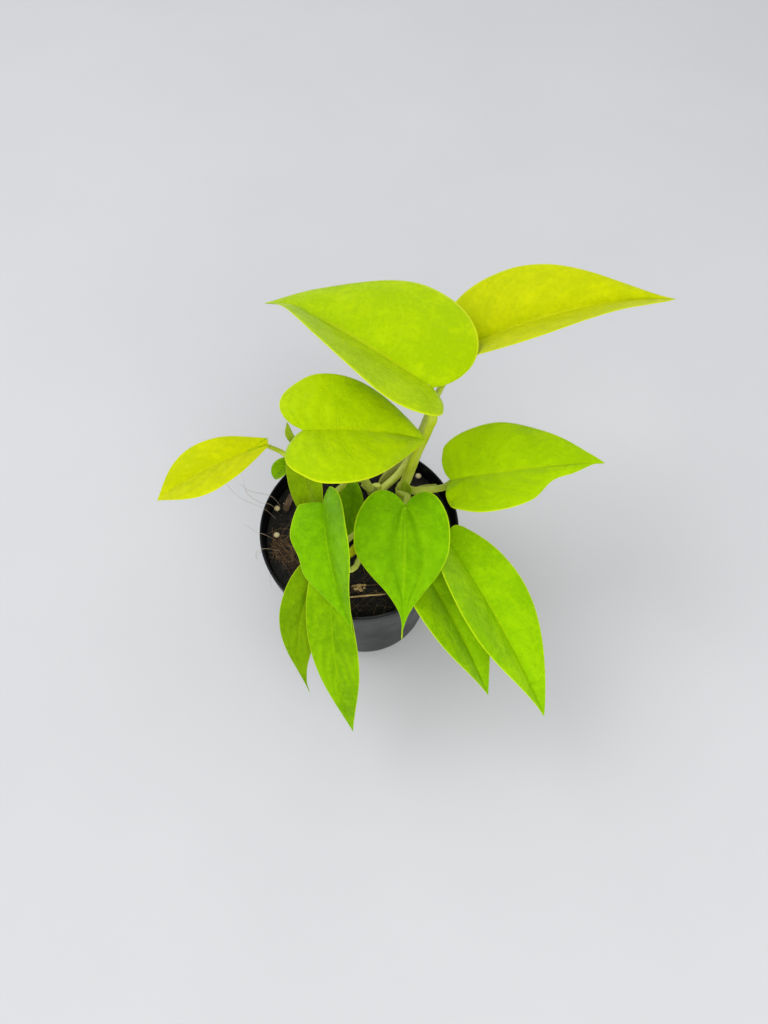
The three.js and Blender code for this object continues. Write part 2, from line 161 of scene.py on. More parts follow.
# for each kind of line: how many there are for each vein, and where it starts and is fullest
VEIN_LINES = (("Vein", 1.0, 0.87, 1.0), ("Hollow", 1.0, 0.1, 0.8), ("Fine Vein", 4.0, 0.65, 1.0))


def make_blade_marks():
    group, given, result = new_tree(
        "ShaderNodeTree", "blade marks",
        [("Pairs", "NodeSocketFloat", VEIN_PAIRS), ("Sweep", "NodeSocketFloat", VEIN_SWEEP)],
        [(label, "NodeSocketFloat") for label in MARKS],
    )
    place = put(group, "ShaderNodeUVMap", uv_map="blade").outputs[0]
    parts = put(group, "ShaderNodeSeparateXYZ", {0: place}).outputs
    across = calc(group, "ABSOLUTE", calc(group, "MULTIPLY_ADD", parts[0], 2.0, -1.0))
    along = parts[1]
    object_place = put(group, "ShaderNodeTexCoord").outputs["Object"]
    wander = speckle(group, object_place, 60.0, 2.0)
    swept = calc(group, "MULTIPLY", calc(group, "POWER", across, SWEEP_BEND), given["Sweep"])
    rank = calc(group, "MULTIPLY", calc(group, "SUBTRACT", along, swept), given["Pairs"])
    rank = calc(group, "ADD", rank, calc(group, "MULTIPLY", wander, 0.22))
    # the vein shade line is a painted shade: a band that darkens the blade beside each vein, where the puffed leaf
    # dips
    for label, times, low, high in VEIN_LINES:
        turn = calc(group, "FRACT", calc(group, "MULTIPLY", rank, times))
        away = calc(group, "MULTIPLY", calc(group, "ABSOLUTE", calc(group, "SUBTRACT", turn, 0.5)), 2.0)
        line = ramp(group, away, low, high)
        fade = calc(group, "MULTIPLY", ramp(group, across, 0.97, 0.6), ramp(group, along, 0.9, 0.62))
        group.links.new(calc(group, "MULTIPLY", line, fade), result[label])
    group.links.new(ramp(group, across, 0.05, 0.012), result["Midrib"])
    group.links.new(ramp(group, across, 0.97, 0.992), result["Edge"])
    blotch = speckle(group, object_place, 110.0, 3.0, 0.6)
    wide = speckle(group, object_place, 38.0, 2.0, 0.5)
    group.links.new(calc(group, "MULTIPLY_ADD", blotch, 0.45, calc(group, "MULTIPLY", wide, 0.55)), result["Mottle"])
    group.links.new(speckle(group, object_place, 420.0, 3.0, 0.6), result["Cells"])
    group.links.new(speckle(group, object_place, 1700.0, 2.0, 0.5), result["Pores"])
    return group


BLADE_MARKS = make_blade_marks()
print("blade marks:", [socket.name for socket in BLADE_MARKS.interface.items_tree])

# %% [markdown]
# ## Blade materials
# Living leaf is waxy on top, paler and duller underneath, and lets some light through, so a blade glows a little on
# its shaded side. The shader is a Principled one with a soft sheen, and subsurface scattering carries the light.
# The newest leaves are nearly yellow, the middle ones bright lime and the oldest ones a deeper green. Blades that
# sit in shade under others get darker copies of these greens as well, a painted shade.

# %% Leaf tissue
BLUES = (0.001, 0.001, 0.003, 0.01)
LEAF_SURFACE = {
    "Subsurface Weight": 0.25,
    "Subsurface Radius": (1.0, 1.2, 0.15),
    "Subsurface Scale": 0.0012,
    "IOR": 1.42,
    "Specular IOR Level": 0.25,
    "Specular Tint": (0.6, 0.85, 0.05, 1),
}


def leaf_tissue(name, *shades, blues=BLUES, gloss=0.36):
    """shades are the red and green of fresh tissue, of deeper patches, of the veins and of the edge. The deeper
    colour also lays painted shade along the veins and in the grooves of folds, and the vein colour a painted highlight
    on the ridges of folds.
    """
    fresh, deep, vein, edge = ((*shade, blue) for shade, blue in zip(shades, blues))
    material, tree, surface, _ = new_material(name)
    marks = use_group(tree, BLADE_MARKS, Pairs=VEIN_PAIRS, Sweep=VEIN_SWEEP)

    def share(label, amount):
        return calc(tree, "MULTIPLY", marks[label], amount)

    cloud = calc(tree, "MULTIPLY_ADD", marks["Cells"], 0.35, share("Mottle", 0.65))
    # fold depth paints shade into the grooves of folds and a highlight onto their ridges: painted shade and painted
    # highlight
    crease = put(tree, "ShaderNodeAttribute", attribute_name="crease").outputs["Fac"]
    # the vein shade band lays painted shade in the deeper colour along the veins
    colour = painted(
        tree, fresh, (ramp(tree, cloud, 0.41, 0.59), deep), (share("Hollow", 0.4), deep), (share("Vein", 0.10), vein),
        (share("Fine Vein", 0.07), vein), (share("Midrib", 0.4), vein), (share("Edge", 0.7), edge),
        (ramp(tree, crease, 0.0, 1.0, 0, 0.75), deep), (ramp(tree, crease, 0.0, -1.0, 0, 0.6), vein))
    height = share("Fine Vein", -0.1)
    for label, amount in (("Vein", -0.2), ("Cells", 1.4), ("Pores", 0.25), ("Mottle", 2.2)):
        height = calc(tree, "MULTIPLY_ADD", marks[label], amount, height)
    rough = ramp(tree, marks["Cells"], 0.3, 0.7, gloss - 0.06, gloss + 0.08)
    dress(tree, surface, colour, rough, (height, 0.0004, 0.7), LEAF_SURFACE)
    return material


LIME = leaf_tissue("lime_blade", (0.38, 0.53), (0.30, 0.45), (0.45, 0.57), (0.56, 0.66))
SPRING = leaf_tissue("spring_blade", (0.34, 0.53), (0.27, 0.45), (0.42, 0.58), (0.54, 0.68))
YELLOW = leaf_tissue("young_yellow_blade", (0.50, 0.54), (0.41, 0.47), (0.54, 0.57), (0.56, 0.62))
GREEN = leaf_tissue("green_blade", (0.18, 0.42), (0.13, 0.32), (0.26, 0.49), (0.42, 0.62))
# shaded blades: darker greens for leaves that sit in shade under others, a painted shade, partly also older tissue
SHADED = leaf_tissue("shaded_blade", (0.20, 0.40), (0.13, 0.29), (0.27, 0.45), (0.42, 0.58))
PAINTED_SHADE_BLADE = leaf_tissue("dusky_blade", (0.17, 0.31), (0.12, 0.24), (0.24, 0.38), (0.38, 0.52))
# the rolled new leaf's own pale yellow, made paler still as a painted light
NEWEST_PAINTED_LIGHT = leaf_tissue("newest_leaf", (0.74, 0.76), (0.66, 0.70), (0.78, 0.80), (0.80, 0.84),
                     blues=(0.02, 0.01, 0.05, 0.1))
MEADOW = leaf_tissue("meadow_blade", (0.27, 0.50), (0.20, 0.41), (0.36, 0.55), (0.50, 0.66))
# the old leaf under the others: older tissue, darkened further as a painted shade
OLD_BLADE_PAINTED_SHADE = leaf_tissue("old_shaded_blade", (0.19, 0.32), (0.14, 0.24), (0.27, 0.38), (0.40, 0.52))
UNDERSIDE = leaf_tissue("blade_underside", (0.30, 0.47), (0.24, 0.40), (0.38, 0.52), (0.48, 0.62),
                        blues=(0.004, 0.004, 0.01, 0.02), gloss=0.6)
print("leaf tissues:", [m.name for m in bpy.data.materials])

# %% [markdown]
# ## Reading a blade back from the frame
# In the frame each blade is a faceted closed solid: an upper sheet, a lower one and a narrow wall round the edge. The
# upper sheet is a grid of rows from the stalk to the tip. To make a finer blade on exactly that shape, the grid is
# read back: sheets are parted where the surface turns sharply, the row of a point is how many edges it is from the
# stalk's end, and inside a row the points form a chain from the left edge to the right.

# %% Mesh helpers
def shown(name, data):
    """An object with this data, placed in the scene."""
    thing = bpy.data.objects.new(name, data)
    bpy.context.scene.collection.objects.link(thing)
    return thing


def mesh_of(name, shape, material=None, smooth=False):
    """A new mesh made from an edited shape, which is freed."""
    mesh = bpy.data.meshes.new(name)
    shape.to_mesh(mesh)
    shape.free()
    if material:
        mesh.materials.append(material)
    mesh.polygons.foreach_set("use_smooth", [smooth] * len(mesh.polygons))
    return mesh


def face_outward(piece):
    shape = bmesh.new()
    shape.from_mesh(piece.data)
    bmesh.ops.recalc_face_normals(shape, faces=shape.faces)
    shape.to_mesh(piece.data)
    shape.free()
    return piece


# %% The grid of a blade
MERGE_DISTANCE = 2e-5
MOST_POLES = 6
GRID_ROWS = 15
GRID_COLUMNS = 7
SHEET_POINTS = (GRID_ROWS - 2) * GRID_COLUMNS + 2
SHARP_TURNS = [math.radians(turn) for turn in (60, 66, 54, 72, 48, 78)]


def merged_copy(node):
    mesh = bmesh.new()
    mesh.from_mesh(node.data)
    bmesh.ops.remove_doubles(mesh, verts=mesh.verts, dist=MERGE_DISTANCE)
    mesh.normal_update()
    return mesh


def smooth_regions(mesh, sharp):
    left = set(mesh.faces)
    while left:
        region, stack = [], [left.pop()]
        while stack:
            face = stack.pop()
            region.append(face)
            for edge in face.edges:
                if edge.calc_face_angle(0) < sharp:
                    for other in edge.link_faces:
                        if other in left:
                            left.discard(other)
                            stack.append(other)
        yield region


def steps_from(start, allowed):
    """Rings of vertices at 0, 1, 2 ... edges from the starting ones, staying inside the allowed set."""
    rings, seen = [list(start)], set(start)
    while rings[-1]:
        ring = []
        for vert in rings[-1]:
            for edge in vert.link_edges:
                other = edge.other_vert(vert)
                if other in allowed and other not in seen:
                    seen.add(other)
                    ring.append(other)
        rings.append(ring)
    return rings[:-1]


def chain(ring):
    """The vertices of a row in order, from one end of the row to the other."""
    inside = set(ring)

    def beside(vert):
        return [e.other_vert(vert) for e in vert.link_edges if e.other_vert(vert) in inside]

    ordered = [min(ring, key=lambda v: (len(beside(v)), v.index))]
    while len(ordered) < len(ring):
        ordered.append(next(v for v in beside(ordered[-1]) if v not in ordered))
    return ordered


def upper_sheet(mesh):
    for sharp in SHARP_TURNS:
        for region in smooth_regions(mesh, sharp):
            points = {vert for face in region for vert in face.verts}
            lift = sum(face.normal.z * face.calc_area() for face in region)
            if len(points) == SHEET_POINTS and lift > 0:
                return points
    raise ValueError(mesh)


def blade_grid(name):
    mesh = merged_copy(NODES["leaf_" + name])
    sheet = upper_sheet(mesh)
    mesh.verts.index_update()

    def links(vert):
        return sum(edge.other_vert(vert) in sheet for edge in vert.link_edges)

    ends = sorted((v for v in sheet if links(v) >= GRID_COLUMNS), key=lambda v: (-links(v), v.index))[:MOST_POLES]
    ends = [v for v in ends if len(steps_from([v], sheet)) == GRID_ROWS]
    stalk = [v.co for v in NODES["stalk_" + name].data.vertices]
    base = min(ends, key=lambda v: min((v.co - p).length for p in stalk))
    rings = steps_from([base], sheet)
    tip = rings[-1][0].co
    up = sum((v.normal for v in sheet), Vector()).normalized()
    left = up.cross(tip - base.co)
    grid = []
    for ring in rings:
        row = [v.co.copy() for v in (chain(ring) if len(ring) > 1 else ring * GRID_COLUMNS)]
        if (row[0] - row[-1]).dot(left) < 0:
            row.reverse()
        grid.append(row)
    mesh.free()
    return np.array(grid)


GRIDS = {name[5:]: blade_grid(name[5:]) for name in sorted(NODES) if name.startswith("leaf_")}
print({name: grid.shape for name, grid in GRIDS.items()})

# %% [markdown]
# ## From grid to living blade
# A smooth curve is passed through the rows and then across the columns, with the midrib kept as a crease. Then the
# blade gets what a flat sheet lacks: each half is crowned, the leaf puffs up between its side veins, the edge waves
# gently, and the midrib stands out as a rib underneath. Last it gets its real thickness of about half a millimetre.

# %% Blade builder
ROW_STEPS = 7
HALF_STEPS = 18
SHEET = 0.45 * MM
RIB = 0.7 * MM
PUFF = 0.26 * MM
BLISTER = 0.30 * MM
BLISTERS_PER_METRE = 130
NORMAL_SMOOTHING = 10


def through(points, steps):
    """Catmull-Rom curve through an array of points, along its first axis."""
    first, last = 2 * points[:1] - points[1:2], 2 * points[-1:] - points[-2:-1]
    p = np.concatenate([first, points, last])
    t = (np.arange(steps) / steps).reshape(-1, *([1] * (points.ndim - 1)))
    spans = []
    for a, b, c, d in zip(p, p[1:], p[2:], p[3:]):
        curve = 2 * b + (c - a) * t + (2 * a - 5 * b + 4 * c - d) * t ** 2 + (3 * b - a - 3 * c + d) * t ** 3
        spans.append(curve / 2)
    return np.concatenate([*spans, points[-1:]])


def sheet_normals(surface):
    down = np.gradient(surface, axis=0)
    side = np.gradient(surface, axis=1)
    normal = np.cross(side, down)
    length = np.linalg.norm(normal, axis=2, keepdims=True)
    normal /= np.maximum(length, 1e-12)
    normal[0], normal[-1] = normal[1].mean(0), normal[-2].mean(0)
    for _ in range(NORMAL_SMOOTHING):
        normal[1:-1] = (normal[:-2] + 2 * normal[1:-1] + normal[2:]) / 4
        normal /= np.maximum(np.linalg.norm(normal, axis=2, keepdims=True), 1e-12)
    return normal


def wave(along, beats, phase):
    return np.sin(2 * np.pi * (beats * along + phase))


def creases(look, along, across):
    """How deep the folds of a blade are, in millimetres: lines that drift across the blade towards the tip."""
    deep = np.zeros(np.broadcast(along, across).shape)
    for start, drift, spread, depth in look.get("creases", []):
        deep = deep + depth * np.exp(-((across - start - drift * along) / spread) ** 2) * np.clip(1.3 - along, 0, 1)
    return deep


def blade_surface(grid, look):
    rows = through(grid, ROW_STEPS)
    halves = [through(np.swapaxes(rows[:, part], 0, 1), HALF_STEPS // 3) for part in (slice(0, 4), slice(3, 7))]
    surface = np.swapaxes(np.concatenate([halves[0], halves[1][1:]]), 0, 1)
    along = np.linspace(0, 1, surface.shape[0])[:, None]
    across = np.linspace(1, -1, surface.shape[1])[None, :]
    reach = np.abs(across)
    normal = sheet_normals(surface)
    width = np.linalg.norm(surface[:, 0] - surface[:, -1], axis=1)[:, None]
    full = np.clip(width / (20 * MM), 0, 1)
    rank = (along - VEIN_SWEEP * reach ** SWEEP_BEND) * VEIN_PAIRS
    puff = 1 - np.abs(2 * (rank % 1) - 1) ** 3
    lift = look["crown"] * MM * 4 * reach * (1 - reach) * full
    calm = np.clip((0.92 - along) / 0.25, 0, 1)
    lift = lift + PUFF * (puff - 0.6) * np.clip(6 * reach, 0, 1) * (1 - reach ** 4) * full * calm
    blisters = np.array([[noise.fractal(Vector(p) * BLISTERS_PER_METRE, 0.9, 2.0, 3) for p in row] for row in surface])
    lift = lift + BLISTER * blisters * (1 - reach ** 6) * np.clip(5 * reach, 0, 1) * full
    ripple = wave(along, look["beats"], look["phase"] + 0.17 * np.sign(across))
    ripple = ripple + 0.5 * wave(along, 2.3 * look["beats"], 1.7 * look["phase"])
    lift = lift + look["ripple"] * MM * ripple * reach ** 3 * full
    lift = lift - look.get("curl", 0) * MM * reach ** 4 * full * np.clip(across * look.get("curl_side", 0), 0, 1)
    lift = lift - creases(look, along, across) * MM * full
    return surface + normal * lift[..., None]


def mesh_piece(name, points, faces, material, uvs=None, material_index=None, smooth=True):
    mesh = bpy.data.meshes.new(name)
    mesh.from_pydata([tuple(p) for p in points], [], faces)
    for one in material if isinstance(material, (list, tuple)) else [material]:
        mesh.materials.append(one)
    if uvs is not None:
        layer = mesh.uv_layers.new(name="blade")
        corners = np.array([uvs[loop.vertex_index] for loop in mesh.loops], np.float32)
        layer.data.foreach_set("uv", corners.ravel())
    if material_index is not None:
        mesh.polygons.foreach_set("material_index", material_index)
    mesh.polygons.foreach_set("use_smooth", [smooth] * len(mesh.polygons))
    mesh.update()
    return shown(name, mesh)


def blade_piece(name, look):
    top = blade_surface(GRIDS[name], look)
    rows, columns = top.shape[:2]
    normal = sheet_normals(top)
    across = np.linspace(1, -1, columns)[None, :]
    along = np.linspace(0, 1, rows)[:, None]
    rib = RIB * np.exp(-(across / 0.06) ** 2) * (1 - along) ** 0.7
    width = np.linalg.norm(top[:, 0] - top[:, -1], axis=1)[:, None]
    thick = SHEET * (1 - 0.4 * np.abs(across) ** 6) + rib * np.clip(width / (14 * MM), 0, 1)
    under = top - normal * thick[..., None]
    points, uvs, index = [], [], np.zeros((2, rows, columns), int)
    for sheet, grid in enumerate((top, under)):
        for i in range(rows):
            for j in range(columns):
                if i in (0, rows - 1) and j:
                    index[sheet, i, j] = index[sheet, i, 0]
                    continue
                index[sheet, i, j] = len(points)
                points.append(grid[i, columns // 2] if i in (0, rows - 1) else grid[i, j])
                uvs.append(((across[0, j] + 1) / 2 if 0 < i < rows - 1 else 0.5, i / (rows - 1)))
    faces, kinds = [], []
    for sheet in (0, 1):
        for i in range(rows - 1):
            for j in range(columns - 1):
                corners = ((i, j), (i + 1, j), (i + 1, j + 1), (i, j + 1))
                ring = list(dict.fromkeys(int(index[sheet, m, n]) for m, n in corners))
                faces.append(ring if sheet == 0 else ring[::-1])
                kinds.append(sheet)
    loop = [(i, 0) for i in range(rows)] + [(i, columns - 1) for i in range(rows - 2, 0, -1)]
    middle = []
    for i, j in loop:
        inward = top[i, columns // 2] - top[i, j]
        size = np.linalg.norm(inward)
        bulge = inward / size * -0.5 * thick[i, j] if size > 1e-6 else 0
        middle.append(len(points))
        points.append((top[i, j] + under[i, j]) / 2 + bulge)
        uvs.append((1.0 if j == 0 else 0.0, i / (rows - 1)))
    for k, (i, j) in enumerate(loop):
        m, n = loop[(k + 1) % len(loop)]
        a, b, c, d = index[0, i, j], index[0, m, n], index[1, m, n], index[1, i, j]
        p, q = middle[k], middle[(k + 1) % len(loop)]
        faces += [[b, a, p, q], [q, p, d, c]]
        kinds += [0, 1]
    piece = mesh_piece(name + "_blade", points, faces, [look["tissue"], UNDERSIDE], uvs, kinds)
    # the fold depth goes to the blade material, which paints shade into each groove and a highlight onto each ridge
    if "creases" in look:
        place = np.array(uvs)
        folds = piece.data.attributes.new("crease", "FLOAT", "POINT")
        folds.data.foreach_set("value", creases(look, place[:, 1], place[:, 0] * 2 - 1).astype(np.float32))
    return face_outward(piece)


def settle(piece, slot, *nodes):
    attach(piece, "root")
    if nodes:
        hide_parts(*nodes)


def stand_in(piece, node):
    """Puts a piece in the place of one node of the frame."""
    settle(piece, SLOTS[node], node)


# %% [markdown]
# ## Each leaf's character
# The heart shapes differ in age and light. `crown` is how far each half bulges, in millimetres, `ripple` is how far
# its edge waves and `beats` how often. A few blades have marks of their own: lengthwise creases left from when the
# blade was rolled up, with painted shade in each groove and a painted highlight on each ridge, or an edge that curls
# under.

# %% All the blades
LOOKS = {
    "back_left": dict(tissue=LIME, crown=1.6, ripple=0.7, beats=1.6, phase=0.1),
    "back_right": dict(tissue=YELLOW, crown=1.4, ripple=0.8, beats=1.3, phase=0.55),
    "middle_left": dict(tissue=LIME, crown=1.5, ripple=0.5, beats=1.4, phase=0.3, curl=2.5, curl_side=-1),
    "right": dict(tissue=SPRING, crown=1.2, ripple=0.9, beats=2.2, phase=0.2),
    "far_left": dict(tissue=YELLOW, crown=0.8, ripple=0.4, beats=1.5, phase=0.4),
    "front_left": dict(tissue=GREEN, crown=1.0, ripple=0.6, beats=1.8, phase=0.7),
    "front_middle": dict(tissue=GREEN, crown=0.8, ripple=0.5, beats=1.6, phase=0.15,
                         creases=[(-0.38, 0.36, 0.09, 1.3), (-0.24, 0.28, 0.07, -0.8), (0.1, 0.4, 0.06, 0.9),
                                  (0.24, 0.44, 0.09, -0.5)]),
    "front_right": dict(tissue=MEADOW, crown=1.2, ripple=0.7, beats=1.4, phase=0.9),
    "front_right_lower": dict(tissue=MEADOW, crown=1.0, ripple=0.5, beats=1.4, phase=0.25),
    "front_left_lower": dict(tissue=PAINTED_SHADE_BLADE, crown=0.7, ripple=0.4, beats=1.5, phase=0.6),
    "front_left_long": dict(tissue=SHADED, crown=0.8, ripple=0.5, beats=1.4, phase=0.35),
    "left_under": dict(tissue=OLD_BLADE_PAINTED_SHADE, crown=0.6, ripple=0.3, beats=1.5, phase=0.5),
    "left_hood": dict(tissue=SHADED, crown=0.6, ripple=0.2, beats=1.0, phase=0.1),
    "inner_small": dict(tissue=SHADED, crown=0.5, ripple=0.3, beats=1.5, phase=0.8),
}
for leaf, look in LOOKS.items():
    stand_in(blade_piece(leaf, look), "leaf_" + leaf)
print("blades:", len(LOOKS))

# %% [markdown]
# ## A tube that follows a path, grown by Geometry Nodes
# Stalks, stems and roots are all long things with a changing width, so one node tree makes them all. It takes a bare
# line of points. Each point carries its own width and the side its groove is on. The tree turns the line into a
# curve, smooths it, sweeps a section along it and closes the ends. It also stores a `grain` value that wraps round
# the tube without a seam, so that fine streaks can run along it.

# %% The sweep tree
def geo(tree, kind, inputs=None, **settings):
    """The first output of a new geometry node."""
    return put(tree, "GeometryNode" + kind, inputs, **settings).outputs[0]


def named(tree, name, kind):
    return geo(tree, "InputNamedAttribute", {"Name": name}, data_type=kind)


def stored(tree, geometry, name, value, kind):
    inputs = {"Geometry": geometry, "Name": name, "Value": value}
    return geo(tree, "StoreNamedAttribute", inputs, data_type=kind, domain="POINT")


def vector(tree, *parts):
    return put(tree, "ShaderNodeCombineXYZ", dict(enumerate(parts))).outputs[0]


def geometry_tree(name, inputs):
    solid = ("Geometry", "NodeSocketGeometry")
    return new_tree("GeometryNodeTree", name, [(*solid, None), *inputs], [solid])


def make_sweep():
    tree, given, result = geometry_tree("sweep", [
        ("Steps", "NodeSocketInt", 60), ("Sides", "NodeSocketInt", 16), ("Flatness", "NodeSocketFloat", 1.0),
        ("Groove", "NodeSocketFloat", 0.0), ("Material", "NodeSocketMaterial", None)])
    line = geo(tree, "MeshToCurve", {"Mesh": given["Geometry"]})
    line = geo(tree, "ResampleCurve", {"Curve": line, "Count": given["Steps"]})
    line = geo(tree, "SetCurveRadius", {"Curve": line, "Radius": named(tree, "width", "FLOAT")})
    line = geo(tree, "SetCurveNormal", {"Curve": line, "Normal": named(tree, "side", "FLOAT_VECTOR")}, mode="FREE")
    length = put(tree, "GeometryNodeSplineParameter").outputs["Length"]
    line = stored(tree, line, "length", length, "FLOAT")
    ring = geo(tree, "CurvePrimitiveCircle", {"Resolution": given["Sides"], "Radius": 1.0})
    place = geo(tree, "InputPosition")
    parts = put(tree, "ShaderNodeSeparateXYZ", {0: place}).outputs
    front = calc(tree, "POWER", calc(tree, "MAXIMUM", parts[0], 0.0), 6.0)
    flat = calc(tree, "MULTIPLY", parts[0], given["Flatness"])
    x = calc(tree, "SUBTRACT", flat, calc(tree, "MULTIPLY", given["Groove"], front))
    ring = stored(tree, ring, "around", place, "FLOAT_VECTOR")
    ring = geo(tree, "SetPosition", {"Geometry": ring, "Position": vector(tree, x, parts[1])})
    sweep = put(tree, "GeometryNodeCurveToMesh", {"Curve": line, "Profile Curve": ring, "Fill Caps": True})
    if "Scale" in sweep.inputs:
        plug(tree, sweep, {"Scale": geo(tree, "InputRadius")})
    turn = put(tree, "ShaderNodeSeparateXYZ", {0: named(tree, "around", "FLOAT_VECTOR")}).outputs
    run = calc(tree, "MULTIPLY", named(tree, "length", "FLOAT"), 20.0)
    mesh = stored(tree, sweep.outputs[0], "grain", vector(tree, turn[0], turn[1], run), "FLOAT_VECTOR")
    mesh = geo(tree, "SetShadeSmooth", {"Geometry": mesh})
    mesh = geo(tree, "RealizeInstances", {"Geometry": mesh})
    mesh = geo(tree, "SetMaterial", {"Geometry": mesh, "Material": given["Material"]})
    tree.links.new(mesh, result[0])
    return tree


SWEEP = make_sweep()


def grown(piece, tree, **values):
    """The piece as its node tree makes it: a plain mesh, with no modifier left on it."""
    modifier = piece.modifiers.new("grow", "NODES")
    modifier.node_group = tree
    names = {item.name: item.identifier for item in tree.interface.items_tree if item.in_out == "INPUT"}
    for key, value in values.items():
        modifier[names[key]] = value
    bpy.context.view_layer.update()
    evaluated = piece.evaluated_get(bpy.context.evaluated_depsgraph_get())
    mesh = bpy.data.meshes.new_from_object(evaluated)
    piece.modifiers.clear()
    piece.data = mesh
    mesh.name = piece.name
    return piece


def carried(path, start):
    """A side direction kept square to the path and turned as little as possible from point to point."""
    sides = []
    side = Vector(start)
    for i in range(len(path)):
        along = (path[min(i + 1, len(path) - 1)] - path[max(i - 1, 0)]).normalized()
        side = (side - along * side.dot(along)).normalized()
        sides.append(side.copy())
    return sides


def swept(name, path, widths, material, up=(0, 0, 1), steps=60, sides=16, flatness=1.0, groove=0.0):
    """A tube along a smoothed path. widths are radii, and the groove starts out looking up."""
    path, widths, sides_up = (through(np.asarray(a, float), 8) for a in (path, widths, carried(path, up)))
    line = bpy.data.meshes.new(name)
    line.from_pydata([tuple(p) for p in path], [(i, i + 1) for i in range(len(path) - 1)], [])
    line.attributes.new("width", "FLOAT", "POINT").data.foreach_set("value", np.asarray(widths, np.float32))
    side = line.attributes.new("side", "FLOAT_VECTOR", "POINT")
    side.data.foreach_set("vector", np.asarray(sides_up, np.float32).ravel())
    return grown(shown(name, line), SWEEP, Steps=steps, Sides=sides, Flatness=flatness, Groove=groove,
                 Material=material)


print("sweep tree:", len(SWEEP.nodes), "nodes")

# %% [markdown]
# ## Stalk tissue
# Stalks and stems are the same living tissue as the blades but thicker and less yellow, with fine streaks of fibre
# along them and darker patches here and there. A leaf stalk is painted paler towards its foot, a painted highlight;
# stems and sheaths take a tone of their own there.

# %% Stalk and stem materials
STALK_SURFACE = {
    "Subsurface Weight": 0.2,
    "Subsurface Radius": (1.0, 1.0, 0.2),
    "Subsurface Scale": 0.0015,
}
STALK_PATCH = (0.22, 0.30, 0.005)
FOOT_HIGH, FOOT_LOW = 0.118, 0.098


def stalk_tissue(name, young, foot, streak, gloss=0.4):
    material, tree, surface, place = new_material(name)
    grain = put(tree, "ShaderNodeAttribute", attribute_name="grain").outputs["Vector"]
    streaks = speckle(tree, grain, 5.0, 4.0, 0.6, stretch=(1.6, 1.6, 0.35))
    patches = speckle(tree, place, 90.0, 3.0)
    height = put(tree, "ShaderNodeSeparateXYZ", {0: place}).outputs[2]
    # the foot coat paints the leaf stalks paler towards their foot, a painted highlight; stems and sheaths get a tone
    # of their own there
    colour = painted(tree, young, (ramp(tree, height, FOOT_HIGH, FOOT_LOW), foot),
                     (ramp(tree, streaks, 0.42, 0.68, 0, 0.7), streak),
                     (ramp(tree, patches, 0.5, 0.8, 0, 0.4), STALK_PATCH))
    rough = ramp(tree, streaks, 0.3, 0.7, gloss - 0.05, gloss + 0.1)
    dress(tree, surface, colour, rough, (streaks, 0.0003, 0.5), STALK_SURFACE)
    return material


# the stalks' pale foot colour is a painted highlight
STALK = stalk_tissue("stalk_tissue", (0.40, 0.49, 0.003), (0.66, 0.72, 0.12), (0.60, 0.66, 0.06))
STEM = stalk_tissue("stem_tissue", (0.27, 0.38, 0.006), (0.20, 0.25, 0.015), (0.42, 0.48, 0.05), gloss=0.5)

# %% [markdown]
# ## Stalks
# The centre line of each stalk is read from the rings of its tube in the frame, from the knee below the blade down to
# the stem. At the foot it runs on a little way into the stem. At the top it bends into the blade and thins out as the
# midrib underneath it. The upper side of a stalk is grooved, most clearly on the largest leaf, whose stalk is also
# flattened.

# %% All the stalks
FLAT = math.radians(2)
TUBE_SIDES = 8
CAP_FACES = TUBE_SIDES - 2


def tube_rings(node, near):
    """Centres and radii of the whole rings of a faceted tube, starting from the cap nearest to a point."""
    mesh = merged_copy(node)
    caps = [{v for f in region for v in f.verts} for region in smooth_regions(mesh, FLAT)
            if len(region) == CAP_FACES]
    caps = [c for c in caps if len(c) == TUBE_SIDES]

    def centre(points):
        return sum((v.co for v in points), Vector()) / len(points)

    cap = min(caps, key=lambda c: (centre(c) - near).length)
    centres, radii = [], []
    for ring in steps_from(cap, set(mesh.verts)):
        middle = centre(ring)
        radius = sum((v.co - middle).length for v in ring) / len(ring)
        whole = len(ring) == TUBE_SIDES and (not radii or 0.7 < radius / radii[-1] < 1.4)
        if not whole and (middle - centres[-1]).length < 1.5 * MM:
            break
        centres.append(middle.copy())
        radii.append(radius if whole else radii[-1])
    mesh.free()
    return centres, radii


KNEE_RINGS = 9
PLAIN_STALK = dict(flatness=0.92, groove=0.18)
# where the midrib under a blade starts, row by row, and how deep below the upper side
MIDRIB_ROWS = ((3, 1.1), (8, 0.9), (16, 0.7))
STALK_SHAPES = {"back_left": dict(flatness=0.78, groove=0.3), "back_right": dict(flatness=0.85, groove=0.25)}
BLADE_TOPS = {leaf: blade_surface(GRIDS[leaf], look) for leaf, look in LOOKS.items()}

for leaf, top in BLADE_TOPS.items():
    up = Vector(sheet_normals(top)[3, top.shape[1] // 2])
    centres, radii = tube_rings(NODES["stalk_" + leaf], Vector(GRIDS[leaf][0, 0]))
    foot = centres[-1] + (centres[-1] - centres[-2]).normalized() * 3.0 * MM
    rib = [Vector(top[i, top.shape[1] // 2]) - up * depth * MM for i, depth in MIDRIB_ROWS]
    knee = 2 if len(centres) > KNEE_RINGS else 1
    path = [*rib[::-1], *centres[knee:], foot]
    width = [0.15 * MM, 0.55 * radii[0], 0.85 * radii[0], *radii[knee:], radii[-1] * 1.12]
    shape = STALK_SHAPES.get(leaf, PLAIN_STALK)
    piece = swept(leaf + "_stalk", path, width, STALK, up, steps=72, sides=20, **shape)
    stand_in(piece, "stalk_" + leaf)
print("stalks:", len(BLADE_TOPS))

# %% [markdown]
# ## Stems
# A stem is built the same way, from the rings of its own tube, with the swollen nodes where leaves have grown. The
# top of each one closes in a rounded shoulder.

